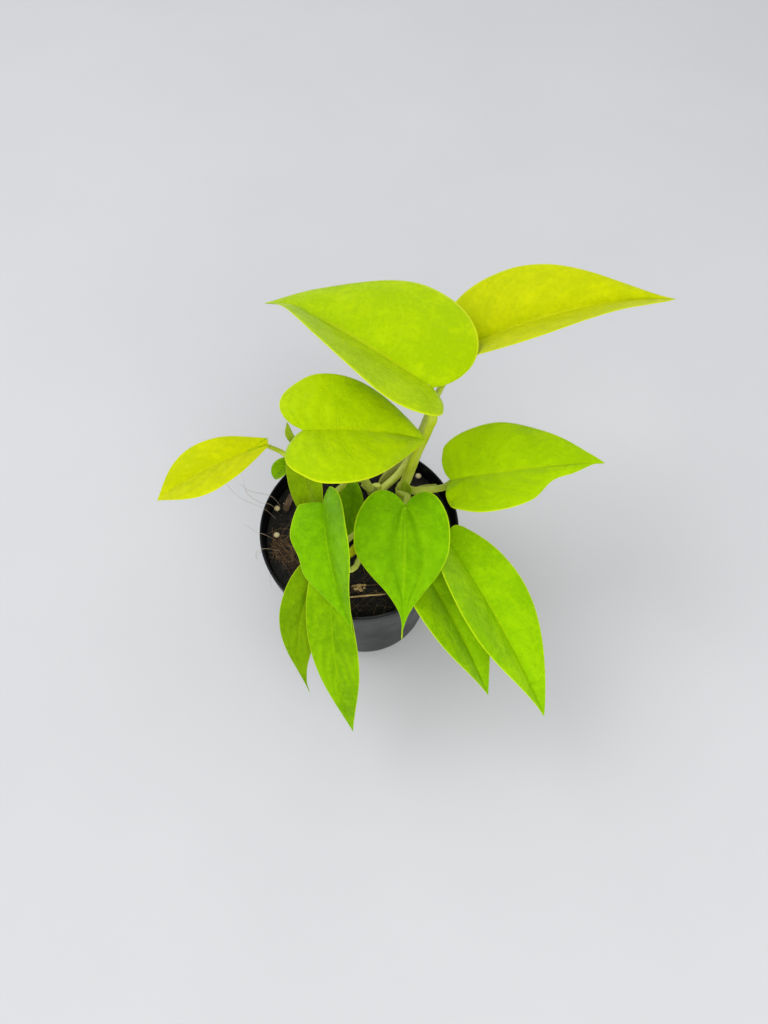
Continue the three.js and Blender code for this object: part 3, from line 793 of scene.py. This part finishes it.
# %% All the stems
for stem in ("right", "middle", "left", "front"):
    node = NODES["stem_" + stem]
    low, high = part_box("stem_" + stem)
    centres, radii = tube_rings(node, Vector(((low.x + high.x) / 2, (low.y + high.y) / 2, low.z)))
    path, width = list(centres), list(radii)
    last = path[-1]
    if last.z < high.z - 2 * MM:
        path.append(last + (last - path[-2]).normalized() * (high.z - last.z - 1 * MM))
        width.append(radii[-1])
    way = (path[-1] - path[-2]).normalized()
    path += [path[-1] + way * 1.2 * MM, path[-1] + way * 2.0 * MM]
    width += [0.8 * width[-1], 0.25 * width[-1]]
    piece = swept(stem + "_stem", path, width, STEM, (1, 0, 0), steps=60, sides=24)
    stand_in(piece, "stem_" + stem)

# %% [markdown]
# ## Sheaths and the rolled new leaf
# Where a leaf leaves its stem it is wrapped in a thin papery sheath that dries and stays as a pointed flap. Each one
# is made as a curved scale on the place of its node in the frame. The newest leaf is still rolled up like a scroll.

# %% Sheaths
def long_axis(node):
    points = np.array([v.co for v in node.data.vertices])
    middle = points.mean(0)
    _, _, ways = np.linalg.svd(points - middle, full_matrices=False)
    reach = (points - middle) @ ways[0]
    order = np.argsort(reach)
    ends = [points[order[:6]].mean(0), points[order[-6:]].mean(0)]
    ends.sort(key=lambda p: p[2])
    half = np.abs((points - middle) @ ways[1]).max()
    return ends[0], middle, ends[1], half


TIP = stalk_tissue("green_sheath", (0.34, 0.50, 0.004), (0.26, 0.40, 0.006), (0.48, 0.60, 0.03), gloss=0.45)
PAPER = stalk_tissue("sheath_paper", (0.38, 0.44, 0.03), (0.36, 0.38, 0.06), (0.62, 0.62, 0.22), gloss=0.6)
for flap in ("middle", "right", "tip_right", "tip_left"):
    low_end, middle, high_end, half = long_axis(NODES["sheath_" + flap])
    path = [Vector(p) for p in through(np.array([low_end, middle, high_end]), 4)]
    reach = np.linspace(0, 1, len(path))
    width = half * np.maximum(np.sin(np.pi * (0.12 + 0.86 * reach)), 0.08)
    tissue = TIP if flap.startswith("tip") else PAPER
    piece = swept(flap + "_sheath", path, width, tissue, (0, -1, 0.2), steps=40, flatness=0.3, groove=0.25)
    stand_in(piece, "sheath_" + flap)


def scroll(name, start, end, radius, turns, material):
    """A leaf still rolled up: a sheet that winds inwards, widest at a third of its length, closed to a point."""
    rows, columns = 40, 60
    start, end = Vector(start), Vector(end)
    way = (end - start).normalized()
    side = way.cross(Vector((0, 0, 1))).normalized()
    up = side.cross(way)
    grids = []
    for inset in (0, 0.35 * MM):
        grid = np.zeros((rows, columns, 3))
        for i in range(rows):
            t = i / (rows - 1)
            size = radius * (0.12 + 0.88 * math.sin(math.pi * min(1, 0.12 + 0.88 * t) ** 0.75))
            for j in range(columns):
                s = j / (columns - 1)
                r = max(size * (0.12 + 0.88 * s) - inset, 0.02 * MM)
                angle = 2 * math.pi * turns * s + 0.5 * t
                grid[i, j] = start + (end - start) * t + (side * math.cos(angle) + up * math.sin(angle)) * r
        grids.append(grid)
    points = [p for grid in grids for row in grid for p in row]
    uvs = [(j / (columns - 1), i / (rows - 1)) for _ in grids for i in range(rows) for j in range(columns)]
    faces, size = [], rows * columns
    for i in range(rows - 1):
        for j in range(columns - 1):
            a = i * columns + j
            ring = [a, a + 1, a + columns + 1, a + columns]
            faces += [ring, [size + k for k in ring[::-1]]]
    edge = [*range(columns), *(i * columns + columns - 1 for i in range(1, rows))]
    edge += [(rows - 1) * columns + j for j in range(columns - 2, -1, -1)]
    edge += [i * columns for i in range(rows - 2, 0, -1)]
    for a, b in zip(edge, edge[1:] + edge[:1]):
        faces.append([b, a, size + a, size + b])
    return face_outward(mesh_piece(name, points, faces, material, uvs))


low_end, middle, high_end, half = long_axis(NODES["new_leaf"])
stand_in(scroll("rolled_new_leaf", low_end, high_end, half * 1.1, 2.3, NEWEST_PAINTED_LIGHT), "new_leaf")

# %% [markdown]
# ## The nursery pot
# A thin black polypropylene pot, blown or pressed to about a millimetre: a tapered wall, an upright band, a rolled
# lip and a floor with a raised ring and drain holes. Its profile is turned finely, the holes are cut out, and the
# shader adds the faint rings of the mould, fine scuffs and a little dust from the potting bench.

# %% Pot
POT_PROFILE = [
    (13, 0), (15, 2.4), (27, 2.4), (29, 0), (35, 0), (35.7, 0.3), (36, 1), (42, 41), (47.8, 79), (48.3, 79.9),
    (50.2, 81), (50.35, 81.6), (51, 88.8), (50.95, 89.4), (50.6, 89.8), (50.1, 90), (49.8, 89.85), (49.7, 89.5),
    (48.9, 81.9), (48.5, 81.0), (46.5, 79.6), (35, 1.8), (33.7, 1.3), (28.5, 1.3), (26.5, 3.7), (15.5, 3.7),
    (13.5, 1.3)]
POT_SEGMENTS = 160
DRAIN_HOLES = 8
DRAIN_RADIUS = 3.5 * MM
DRAIN_RING = 21 * MM


def turned_faces(turns, count):
    """Faces between neighbouring copies of a profile of that many points."""
    starts = [(k * count, (k + 1) % turns * count) for k in range(turns)]
    return [[a + i, b + i, b + i + 1, a + i + 1] for a, b in starts for i in range(count - 1)]


def turned(name, profile, segments, material):
    """A profile turned round the upright axis. It runs from the axis' lower point, outside up and inside down."""
    points = []
    for k in range(segments):
        angle = 2 * math.pi * k / segments
        points += [(r * MM * math.cos(angle), r * MM * math.sin(angle), z * MM) for r, z in profile]
    return mesh_piece(name, points, turned_faces(segments, len(profile)), material)


def pot_plastic():
    material, tree, surface, place = new_material("pot_plastic")
    height = put(tree, "ShaderNodeSeparateXYZ", {0: place}).outputs[2]
    scuffs = speckle(tree, place, 260.0, 6.0, 0.7, stretch=(1, 1, 0.12))
    cloud = speckle(tree, place, 34.0, 5.0, 0.6)
    grains = ramp(tree, speckle(tree, place, 1900.0, 2.0, 0.6), 0.62, 0.72)
    rings = put(tree, "ShaderNodeTexWave", {"Vector": place, "Scale": 320.0, "Distortion": 0.4, "Detail": 1.0},
                wave_type="BANDS", bands_direction="Z").outputs["Fac"]
    haze = calc(tree, "MULTIPLY", ramp(tree, cloud, 0.42, 0.7), 0.5)
    scratch = ramp(tree, scuffs, 0.64, 0.74, 0, 0.25)
    brim = ramp(tree, height, 0.078, 0.09)
    dust = calc(tree, "MULTIPLY", grains, calc(tree, "MULTIPLY", brim, 0.35))
    colour = painted(tree, (0.0022, 0.0025, 0.003), (haze, (0.005, 0.0055, 0.007)), (scratch, (0.06, 0.065, 0.075)),
                     (dust, (0.07, 0.05, 0.035)))
    rough = calc(tree, "MULTIPLY_ADD", scratch, 0.6, ramp(tree, cloud, 0.3, 0.7, 0.28, 0.42))
    relief = calc(tree, "MULTIPLY_ADD", rings, 0.25, calc(tree, "MULTIPLY", scuffs, 0.4))
    dress(tree, surface, colour, rough, (relief, 0.00008, 0.5), {"IOR": 1.32, "Specular IOR Level": 0.3})
    return material


POT = turned("pot_shell", POT_PROFILE, POT_SEGMENTS, pot_plastic())
# both ends of the profile meet the flat disc in the middle of the floor
shell = bmesh.new()
shell.from_mesh(POT.data)
for radius, z in (POT_PROFILE[0], POT_PROFILE[-1]):
    ring = [v for v in shell.verts
            if abs(v.co.z - z * MM) < 1e-5 and abs(math.hypot(v.co.x, v.co.y) - radius * MM) < 1e-5]
    ring.sort(key=lambda v: math.atan2(v.co.y, v.co.x))
    shell.faces.new(ring if z else ring[::-1])
shell.to_mesh(POT.data)
shell.free()
face_outward(POT)
cutters = bmesh.new()
for k in range(DRAIN_HOLES):
    angle = 2 * math.pi * k / DRAIN_HOLES
    made = bmesh.ops.create_cone(cutters, cap_ends=True, segments=28, radius1=DRAIN_RADIUS, radius2=DRAIN_RADIUS,
                                 depth=12 * MM)
    bmesh.ops.translate(cutters, verts=made["verts"],
                        vec=(DRAIN_RING * math.cos(angle), DRAIN_RING * math.sin(angle), 2.4 * MM))
drill = shown("drill", mesh_of("drill", cutters))
holes = POT.modifiers.new("holes", "BOOLEAN")
holes.object = drill
holes.operation = "DIFFERENCE"
holes.solver = "EXACT"
bpy.context.view_layer.update()
drilled = bpy.data.meshes.new_from_object(POT.evaluated_get(bpy.context.evaluated_depsgraph_get()))
POT.modifiers.clear()
POT.data = drilled
bpy.data.objects.remove(drill)
shell = bmesh.new()
shell.from_mesh(POT.data)
for edge in shell.edges:
    edge.smooth = edge.calc_face_angle(0) < math.radians(40)
for face in shell.faces:
    face.smooth = len(face.verts) < 20
shell.to_mesh(POT.data)
shell.free()
stand_in(POT, "nursery_pot")
print("pot:", len(POT.data.polygons), "faces")

# %% [markdown]
# ## Peat
# The pot is filled with dark milled peat. Its body is one closed solid just inside the wall, and its top is uneven:
# low mounds, small clods and pits. Wet peat is nearly black, and drier crumbs on top are brown.

# %% Peat body
SOIL_EDGE = [(0, 1.7), (12, 1.7), (14.6, 4.1), (27.4, 4.1), (29, 1.7), (33.4, 1.7), (34.5, 2.4), (46.2, 79.5),
             (48.4, 81.4)]
SOIL_TOP = [(0, 84.5), (16, 84.0), (32, 82.6), (44.5, 82.0), (48.4, 81.4)]
SOIL_RADIUS = SOIL_EDGE[-1][0]
PEAT_TURNS = 260
PEAT_RINGS = 96


def soil_height(x, y):
    radius = math.hypot(x, y) / MM
    base = float(np.interp(radius, *zip(*SOIL_TOP)))
    calm = min(1.0, max(0.0, (SOIL_RADIUS - radius) / 3))
    spot = Vector((x, y, 0))
    lumps = 1.1 * noise.fractal(spot * 90, 0.8, 2.0, 4)
    clods = 0.9 * max(0.0, noise.noise(spot * 420)) + 0.5 * noise.noise(spot * 900)
    pits = -0.8 * max(0.0, noise.noise(spot * 260 + Vector((7, 3, 0)))) ** 1.2
    return (base - 0.3 + (lumps + clods + pits) * calm) * MM


def peat_material():
    material, tree, surface, place = new_material("peat")
    crumbs = speckle(tree, place, 700.0, 6.0, 0.7)
    fibres = speckle(tree, place, 1500.0, 4.0, 0.65, stretch=(1, 0.22, 0.4))
    damp = speckle(tree, place, 55.0, 3.0)
    colour = painted(tree, (0.0035, 0.0028, 0.0024), (ramp(tree, crumbs, 0.42, 0.7), (0.013, 0.009, 0.006)),
                     (ramp(tree, fibres, 0.64, 0.76, 0, 0.35), (0.05, 0.028, 0.014)),
                     (ramp(tree, damp, 0.45, 0.62, 0, 0.6), (0.007, 0.0055, 0.0045)))
    relief = calc(tree, "MULTIPLY_ADD", fibres, 0.5, crumbs)
    dress(tree, surface, colour, ramp(tree, damp, 0.35, 0.65, 0.75, 0.95), (relief, 0.0009, 0.8))
    return material


PEAT = peat_material()


def peat_body():
    side = [(r, z) for r, z in SOIL_EDGE if r > 0]
    radii = [SOIL_RADIUS * (1 - k / PEAT_RINGS) for k in range(1, PEAT_RINGS)]
    points, count = [], len(side) + len(radii)
    for k in range(PEAT_TURNS):
        angle = 2 * math.pi * k / PEAT_TURNS
        c, s = math.cos(angle), math.sin(angle)
        points += [(r * MM * c, r * MM * s, z * MM) for r, z in side]
        points += [(r * MM * c, r * MM * s, soil_height(r * MM * c, r * MM * s)) for r in radii]
    points += [(0, 0, SOIL_EDGE[0][1] * MM), (0, 0, soil_height(0, 0))]
    faces = turned_faces(PEAT_TURNS, count)
    for k in range(PEAT_TURNS):
        a, b = k * count, (k + 1) % PEAT_TURNS * count
        faces += [[b, a, len(points) - 2], [a + count - 1, b + count - 1, len(points) - 1]]
    return mesh_piece("peat_body", points, faces, PEAT)


PEAT_BODY = peat_body()
stand_in(PEAT_BODY, "potting_soil")
print("peat:", len(PEAT_BODY.data.polygons), "faces")

# %% [markdown]
# ## Crumbs and fibres
# Loose crumbs of peat, flecks of pale wood and bark, and short curled fibres of coir lie on top. A handful of small
# shapes are made once, and Geometry Nodes scatters them over the top of the peat with random turns and sizes, from a
# fixed seed. A density attribute painted on the peat says where each kind lies thick.

# %% Scatter tree
FULL_TURN = 6.283
PEAT_TOP = 0.0795


def make_scatter():
    tree, given, result = geometry_tree("scatter", [
        ("Shapes", "NodeSocketCollection", None), ("Density", "NodeSocketFloat", 1000.0),
        ("Smallest", "NodeSocketFloat", 0.5), ("Largest", "NodeSocketFloat", 1.5), ("Tilt", "NodeSocketFloat", 3.1),
        ("Seed", "NodeSocketInt", 1), ("Lift", "NodeSocketFloat", 0.0)])
    density = calc(tree, "MULTIPLY", named(tree, "amount", "FLOAT"), given["Density"])
    spread = geo(tree, "DistributePointsOnFaces",
                 {"Mesh": given["Geometry"], "Density": density, "Seed": given["Seed"]})
    back = calc(tree, "MULTIPLY", given["Tilt"], -1.0)
    low, high = vector(tree, back, back, 0.0), vector(tree, given["Tilt"], given["Tilt"], FULL_TURN)
    turn = put(tree, "FunctionNodeRandomValue", {0: low, 1: high, "Seed": 11}, data_type="FLOAT_VECTOR").outputs[0]
    sizes = {2: given["Smallest"], 3: given["Largest"], "Seed": 12}
    size = put(tree, "FunctionNodeRandomValue", sizes, data_type="FLOAT").outputs[1]
    shapes = geo(tree, "CollectionInfo",
                 {"Collection": given["Shapes"], "Separate Children": True, "Reset Children": True})
    placed = geo(tree, "InstanceOnPoints", {
        "Points": spread, "Instance": shapes, "Pick Instance": True, "Rotation": turn, "Scale": size})
    lift = vector(tree, 0.0, 0.0, given["Lift"])
    moved = geo(tree, "TranslateInstances", {"Instances": placed, "Translation": lift, "Local Space": False})
    tree.links.new(geo(tree, "RealizeInstances", {"Geometry": moved}), result[0])
    return tree


SCATTER = make_scatter()


def scattered(name, shapes, amount, **values):
    """Shapes spread over the top of the peat. amount(x, y) says how thick they lie, from 0 to 1."""
    ground = bmesh.new()
    ground.from_mesh(PEAT_BODY.data)
    low = [f for f in ground.faces if f.calc_center_median().z < PEAT_TOP or f.normal.z < 0]
    bmesh.ops.delete(ground, geom=low, context="FACES")
    mesh = mesh_of(name, ground)
    values_at = [max(0.0, min(1.0, amount(v.co.x / MM, v.co.y / MM))) for v in mesh.vertices]
    mesh.attributes.new("amount", "FLOAT", "POINT").data.foreach_set("value", values_at)
    piece = shown(name, mesh)
    palette = bpy.data.collections.new(name + "_shapes")
    for shape in shapes:
        palette.objects.link(shape)
    grown(piece, SCATTER, Shapes=palette, **values)
    for shape in shapes:
        bpy.data.objects.remove(shape)
    bpy.data.collections.remove(palette)
    print(name, len(piece.data.polygons), "faces")
    return piece


def particle_material(name, dark, pale, rough=0.85):
    material, tree, surface, place = new_material(name)
    grain = speckle(tree, place, 1400.0, 4.0, 0.6)
    kind = speckle(tree, place, 170.0, 1.0)
    colour = painted(tree, dark, (ramp(tree, kind, 0.35, 0.68), pale), (ramp(tree, grain, 0.5, 0.75, 0, 0.5), dark))
    dress(tree, surface, colour, rough, (grain, 0.0003, 0.7))
    return material


def lump_shape(name, seed, material, size=1.0, squash=(1, 0.8, 0.7)):
    shape = bmesh.new()
    bmesh.ops.create_icosphere(shape, subdivisions=1, radius=size * MM)
    for vert in shape.verts:
        push = 1 + 0.5 * noise.noise(vert.co.normalized() * 1.9 + Vector((seed, 0, 0)))
        vert.co = Vector(vert.co[i] * squash[i] * push for i in range(3))
    return bpy.data.objects.new(name, mesh_of(name, shape, material))


def fibre_shape(name, seed, length, radius, material, steps=12, sides=4):
    rng = np.random.default_rng(seed)
    turn, sway = rng.uniform(-1.6, 1.6, 2)
    heading, spot, path = 0.0, np.zeros(3), []
    for i in range(steps + 1):
        path.append(spot.copy())
        heading += (turn + sway * math.sin(5 * i / steps) + rng.normal(0, 0.5)) / steps
        rise = 0.10 * math.sin(4 * i / steps)
        spot = spot + length * MM / steps * np.array([math.cos(heading), math.sin(heading), rise])
    path = np.array(path) - np.mean(path, axis=0)
    points, faces = [], []
    for i, spot in enumerate(path):
        ahead = path[min(i + 1, steps)] - path[max(i - 1, 0)]
        ahead /= np.linalg.norm(ahead)
        side = np.cross(ahead, (0, 0, 1))
        up = np.cross(side, ahead)
        r = radius * MM * (1 - 0.75 * (i / steps) ** 2)
        for k in range(sides):
            angle = 2 * math.pi * k / sides
            points.append(spot + (side * math.cos(angle) + up * math.sin(angle)) * r)
    for i in range(steps):
        for k in range(sides):
            a, b = i * sides + k, i * sides + (k + 1) % sides
            faces.append([a, b, b + sides, a + sides])
    faces += [list(range(sides))[::-1], [steps * sides + k for k in range(sides)]]
    mesh = bpy.data.meshes.new(name)
    mesh.from_pydata([tuple(p) for p in points], [], faces)
    mesh.materials.append(material)
    return bpy.data.objects.new(name, mesh)


CRUMB = particle_material("peat_crumb", (0.004, 0.0032, 0.0027), (0.018, 0.012, 0.008))
COIR = particle_material("coir_fibre", (0.10, 0.05, 0.018), (0.30, 0.17, 0.07), rough=0.7)
FLECK = particle_material("pale_fleck", (0.25, 0.18, 0.09), (0.62, 0.52, 0.34), rough=0.8)


def inside_rim(x, y, edge=46.0):
    return 1.0 if math.hypot(x, y) < edge else 0.0


def coir_amount(x, y):
    left = math.exp(-((x + 38) ** 2 + (y + 12) ** 2) / 260)
    front = 0.5 * math.exp(-(x ** 2 + (y + 36) ** 2) / 200)
    return inside_rim(x, y, 45) * (0.05 + left + front)


litter = [
    ("peat_crumbs", [lump_shape(f"crumb{k}", k * 1.7, CRUMB) for k in range(6)], inside_rim,
     dict(Density=620000.0, Smallest=0.22, Largest=1.05, Seed=3)),
    ("coir_fibres", [fibre_shape(f"fibre{k}", k, 9 + 2.2 * (k % 5), 0.11, COIR) for k in range(10)], coir_amount,
     dict(Density=110000.0, Smallest=0.6, Largest=1.3, Tilt=0.22, Seed=5, Lift=0.9 * MM)),
    ("pale_flecks", [lump_shape(f"fleck{k}", 4 + k, FLECK, 0.42, (1.3, 0.8, 0.5)) for k in range(4)], inside_rim,
     dict(Density=17000.0, Smallest=0.4, Largest=1.3, Seed=8, Lift=0.4 * MM)),
]
for name, shapes, amount, values in litter:
    settle(scattered(name, shapes, amount, **values), "soil")

# %% [markdown]
# ## A tuft of long fibres
# On the left a tuft of longer coir fibres fans out from the rim over the peat. Each one is a swept tube whose points
# follow the height of the peat, drawn from one seeded random source.

# %% Long fibres
def draped_fibre(name, start, end, sag, radius, height, material):
    start, end = np.array(start, float), np.array(end, float)
    side = np.array([start[1] - end[1], end[0] - start[0]]) / np.linalg.norm(end - start)
    path = []
    for t in np.linspace(0, 1, 7):
        x, y = (start + (end - start) * t + side * sag * math.sin(math.pi * t)) * MM
        lift = height * math.sin(math.pi * min(1, t + 0.08)) + 0.25
        path.append(Vector((x, y, soil_height(x, y) + lift * MM)))
    width = np.linspace(radius, 0.35 * radius, 7) * MM
    return swept(name, path, width, material, steps=28, sides=5)


def joined(name, pieces):
    """One piece made of several plain meshes."""
    whole = bmesh.new()
    for piece in pieces:
        whole.from_mesh(piece.data)
    mesh = bpy.data.meshes.new(name)
    whole.to_mesh(mesh)
    whole.free()
    mesh.materials.append(pieces[0].data.materials[0])
    for piece in pieces:
        bpy.data.objects.remove(piece)
    return shown(name, mesh)


rng = np.random.default_rng(21)
tuft = []
for k in range(34):
    spread = rng.uniform(-1, 1)
    start = (-45 + rng.uniform(0, 4), -4 + 5 * rng.normal())
    end = (-30 + 7 * rng.normal(), -21 + 9 * spread)
    sag, radius, height = rng.uniform(-5, 6), rng.uniform(0.07, 0.13), rng.uniform(0.2, 1.6)
    tuft.append(draped_fibre(f"tuft_{k}", start, end, sag, radius, height, COIR))
front = [((-4, -33), (14, -31), 1.5, 0.1), ((-2, -36), (20, -29), -2.5, 0.12), ((-9, -30), (6, -38), 2.0, 0.09)]
for k, (start, end, sag, radius) in enumerate(front):
    tuft.append(draped_fibre(f"front_{k}", start, end, sag, radius, 0.9, COIR))
settle(joined("coir_tuft", tuft), "soil")

# %% [markdown]
# ## Fertiliser prills, bark and straw
# Some things on the peat are large enough to be pieces of their own: four round grains of slow-release fertiliser,
# two chips of bark and a bit of straw. Each is made on the box of its node.

# %% Prills and litter
def rounded_lump(name, node, rough, material, levels=4):
    low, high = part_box(node)
    middle, half = (low + high) / 2, (high - low) / 2
    shape = bmesh.new()
    bmesh.ops.create_icosphere(shape, subdivisions=levels, radius=1.0)
    for vert in shape.verts:
        spot = vert.co.normalized()
        push = 1 + rough * noise.fractal(spot * 2.2 + middle * 900, 0.9, 2.0, 4) - rough
        vert.co = middle + Vector(spot[i] * half[i] * push for i in range(3))
    return shown(name, mesh_of(name, shape, material, smooth=True))


def refined_chip(name, node, material, rough):
    """A chip cut fine enough to be roughened, on a merged copy of its node."""
    shape = merged_copy(NODES[node])
    bmesh.ops.subdivide_edges(shape, edges=shape.edges, cuts=5, use_grid_fill=True)
    bmesh.ops.triangulate(shape, faces=shape.faces)
    shape.normal_update()
    moves = {}
    for vert in shape.verts:
        spot = vert.co * 700
        ridge = noise.fractal(Vector((spot.x * 0.3, spot.y, spot.z)), 0.8, 2.0, 4)
        moves[vert] = vert.normal * rough * MM * ridge
    for vert, move in moves.items():
        vert.co += move
    return shown(name, mesh_of(name, shape, material, smooth=True))


PRILL = particle_material("prill_coat", (0.62, 0.50, 0.26), (0.80, 0.70, 0.44), rough=0.45)
BARK = particle_material("bark_chip", (0.07, 0.04, 0.02), (0.22, 0.13, 0.06), rough=0.9)
STRAW = particle_material("straw", (0.45, 0.30, 0.11), (0.70, 0.52, 0.24), rough=0.7)
for k in range(1, 5):
    stand_in(rounded_lump(f"prill_grain_{k}", f"prill_{k}", 0.06, PRILL), f"prill_{k}")
stand_in(refined_chip("bark_left_chip", "bark_left", BARK, 0.3), "bark_left")


def broken_chip(name, node, material, pieces):
    """A crumbled chip: lumps of several sizes heaped in the node's box."""
    low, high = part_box(node)
    rng = np.random.default_rng(4)
    heap = []
    for k in range(pieces):
        lump = lump_shape(f"{name}_{k}", 30 + k, material, rng.uniform(0.5, 1.25), (1.25, 0.8, 0.6))
        spot = [rng.uniform(low[i] + 0.8 * MM, high[i] - 0.8 * MM) for i in range(2)]
        lump.data.transform(Matrix.Translation((*spot, soil_height(*spot) + 0.55 * MM)))
        heap.append(lump)
    return joined(name, heap)


stand_in(broken_chip("bark_front_chip", "bark_front", STRAW, 13), "bark_front")
low_end, middle, high_end, half = long_axis(NODES["straw_front"])
stem = [Vector(p) for p in through(np.array([low_end, middle, high_end]), 4)]
thin = [0.34 * MM, *[0.42 * MM] * (len(stem) - 2), 0.12 * MM]
piece = swept("straw_front_stem", stem, thin, STRAW, steps=40, sides=10)
stand_in(piece, "straw_front")

# %% [markdown]
# ## Hair roots
# A few dry roots, as fine as hair, have crept over the left side of the rim. They are swept tubes like the stalks,
# a fifth of a millimetre thick, and they start in the peat.

# %% Hair roots
ROOT = particle_material("hair_root", (0.34, 0.24, 0.15), (0.52, 0.42, 0.30), rough=0.7)
ROOTS = [
    [(-42, 17, 83.5), (-44.8, 17.8, 90.2), (-49, 19.3, 91.3), (-57, 21, 92.5), (-63, 25, 95)],
    [(-44, 9, 83.5), (-47.2, 9.6, 90.2), (-51.5, 12, 91.4), (-62, 17, 93), (-70, 25, 98), (-73, 31, 103)],
    [(-43, 13, 83.5), (-46.2, 13.8, 90.2), (-51, 14.2, 91.4), (-58, 19, 94), (-60, 27, 99)],
    [(-43, -4, 83.4), (-48, -4, 90.2), (-52.5, -3, 91.4), (-56, 0, 91.2), (-59, 1, 93)],
    [(-41, -10, 83.3), (-46.6, -12, 90.2), (-50.8, -13.6, 91.2), (-52.4, -14.2, 87), (-51.9, -15, 82)],
]
for k, root in enumerate(ROOTS):
    path = [Vector(p) * MM for p in root]
    width = [0.085 * MM] * (len(path) - 1) + [0.03 * MM]
    piece = swept(f"hair_root_{k + 1}", path, width, ROOT, steps=50, sides=6)
    settle(piece, "stem")
print("roots:", len(ROOTS))

# %% [markdown]
# ## Floor, light and camera
# The plant stands on a plain pale floor. A wide soft lamp from the upper left does most of the work, and a pale sky
# fills the shadows. The camera looks down on the plant from a hand's height above it.

# %% Stage
FLOOR_HALF = 8.0
CENTRE = Vector((0, 0, 0.1))


def plain_stage():
    material, tree, surface, place = new_material("pale_floor")
    cloud = ramp(tree, speckle(tree, place, 6.0, 4.0), 0.3, 0.7)
    colour = painted(tree, (0.53, 0.53, 0.533), (cloud, (0.545, 0.545, 0.548)))
    plug(tree, surface, {"Base Color": colour, "Roughness": 0.8})
    corners = [(x * FLOOR_HALF, y * FLOOR_HALF, 0) for x, y in ((-1, -1), (1, -1), (1, 1), (-1, 1))]
    mesh_piece("floor", corners, [[0, 1, 2, 3]], material, smooth=False)


def lamp(name, place, size, power, colour=(1, 1, 1)):
    light = bpy.data.lights.new(name, "AREA")
    light.shape = "DISK"
    light.size = size
    light.energy = power
    light.color = colour
    holder = shown(name, light)
    holder.location = place
    holder.rotation_euler = (CENTRE - Vector(place)).to_track_quat("-Z", "Y").to_euler()


plain_stage()
lamp("window", (-0.9, 0.3, 1.5), 1.1, 11.0)
lamp("fill", (0.25, -1.1, 1.1), 1.5, 14.0, (1.0, 0.995, 0.98))
world = bpy.data.worlds.new("sky")
world.use_nodes = True
plug(world.node_tree, world.node_tree.nodes["Background"], {"Color": (0.93, 0.95, 1.0, 1), "Strength": 0.8})
bpy.context.scene.world = world
bpy.context.scene.view_settings.view_transform = "Standard"

LENS_MM = 27.04
SENSOR_MM = 36
lens = bpy.data.cameras.new("camera")
lens.lens = LENS_MM
lens.sensor_width = SENSOR_MM
lens.clip_start = 0.01
CAMERA_PLACE = Vector((0.0129, -0.1892, 0.4350))
LOOK = Vector((0, 0.4955, -0.8686))
RIGHT = Vector((0.9997, -0.0221, -0.0126))
axes = Matrix((RIGHT, RIGHT.cross(LOOK), -LOOK)).transposed()
camera = shown("camera", lens)
camera.matrix_world = Matrix.Translation(CAMERA_PLACE) @ axes.to_4x4()
bpy.context.scene.camera = camera
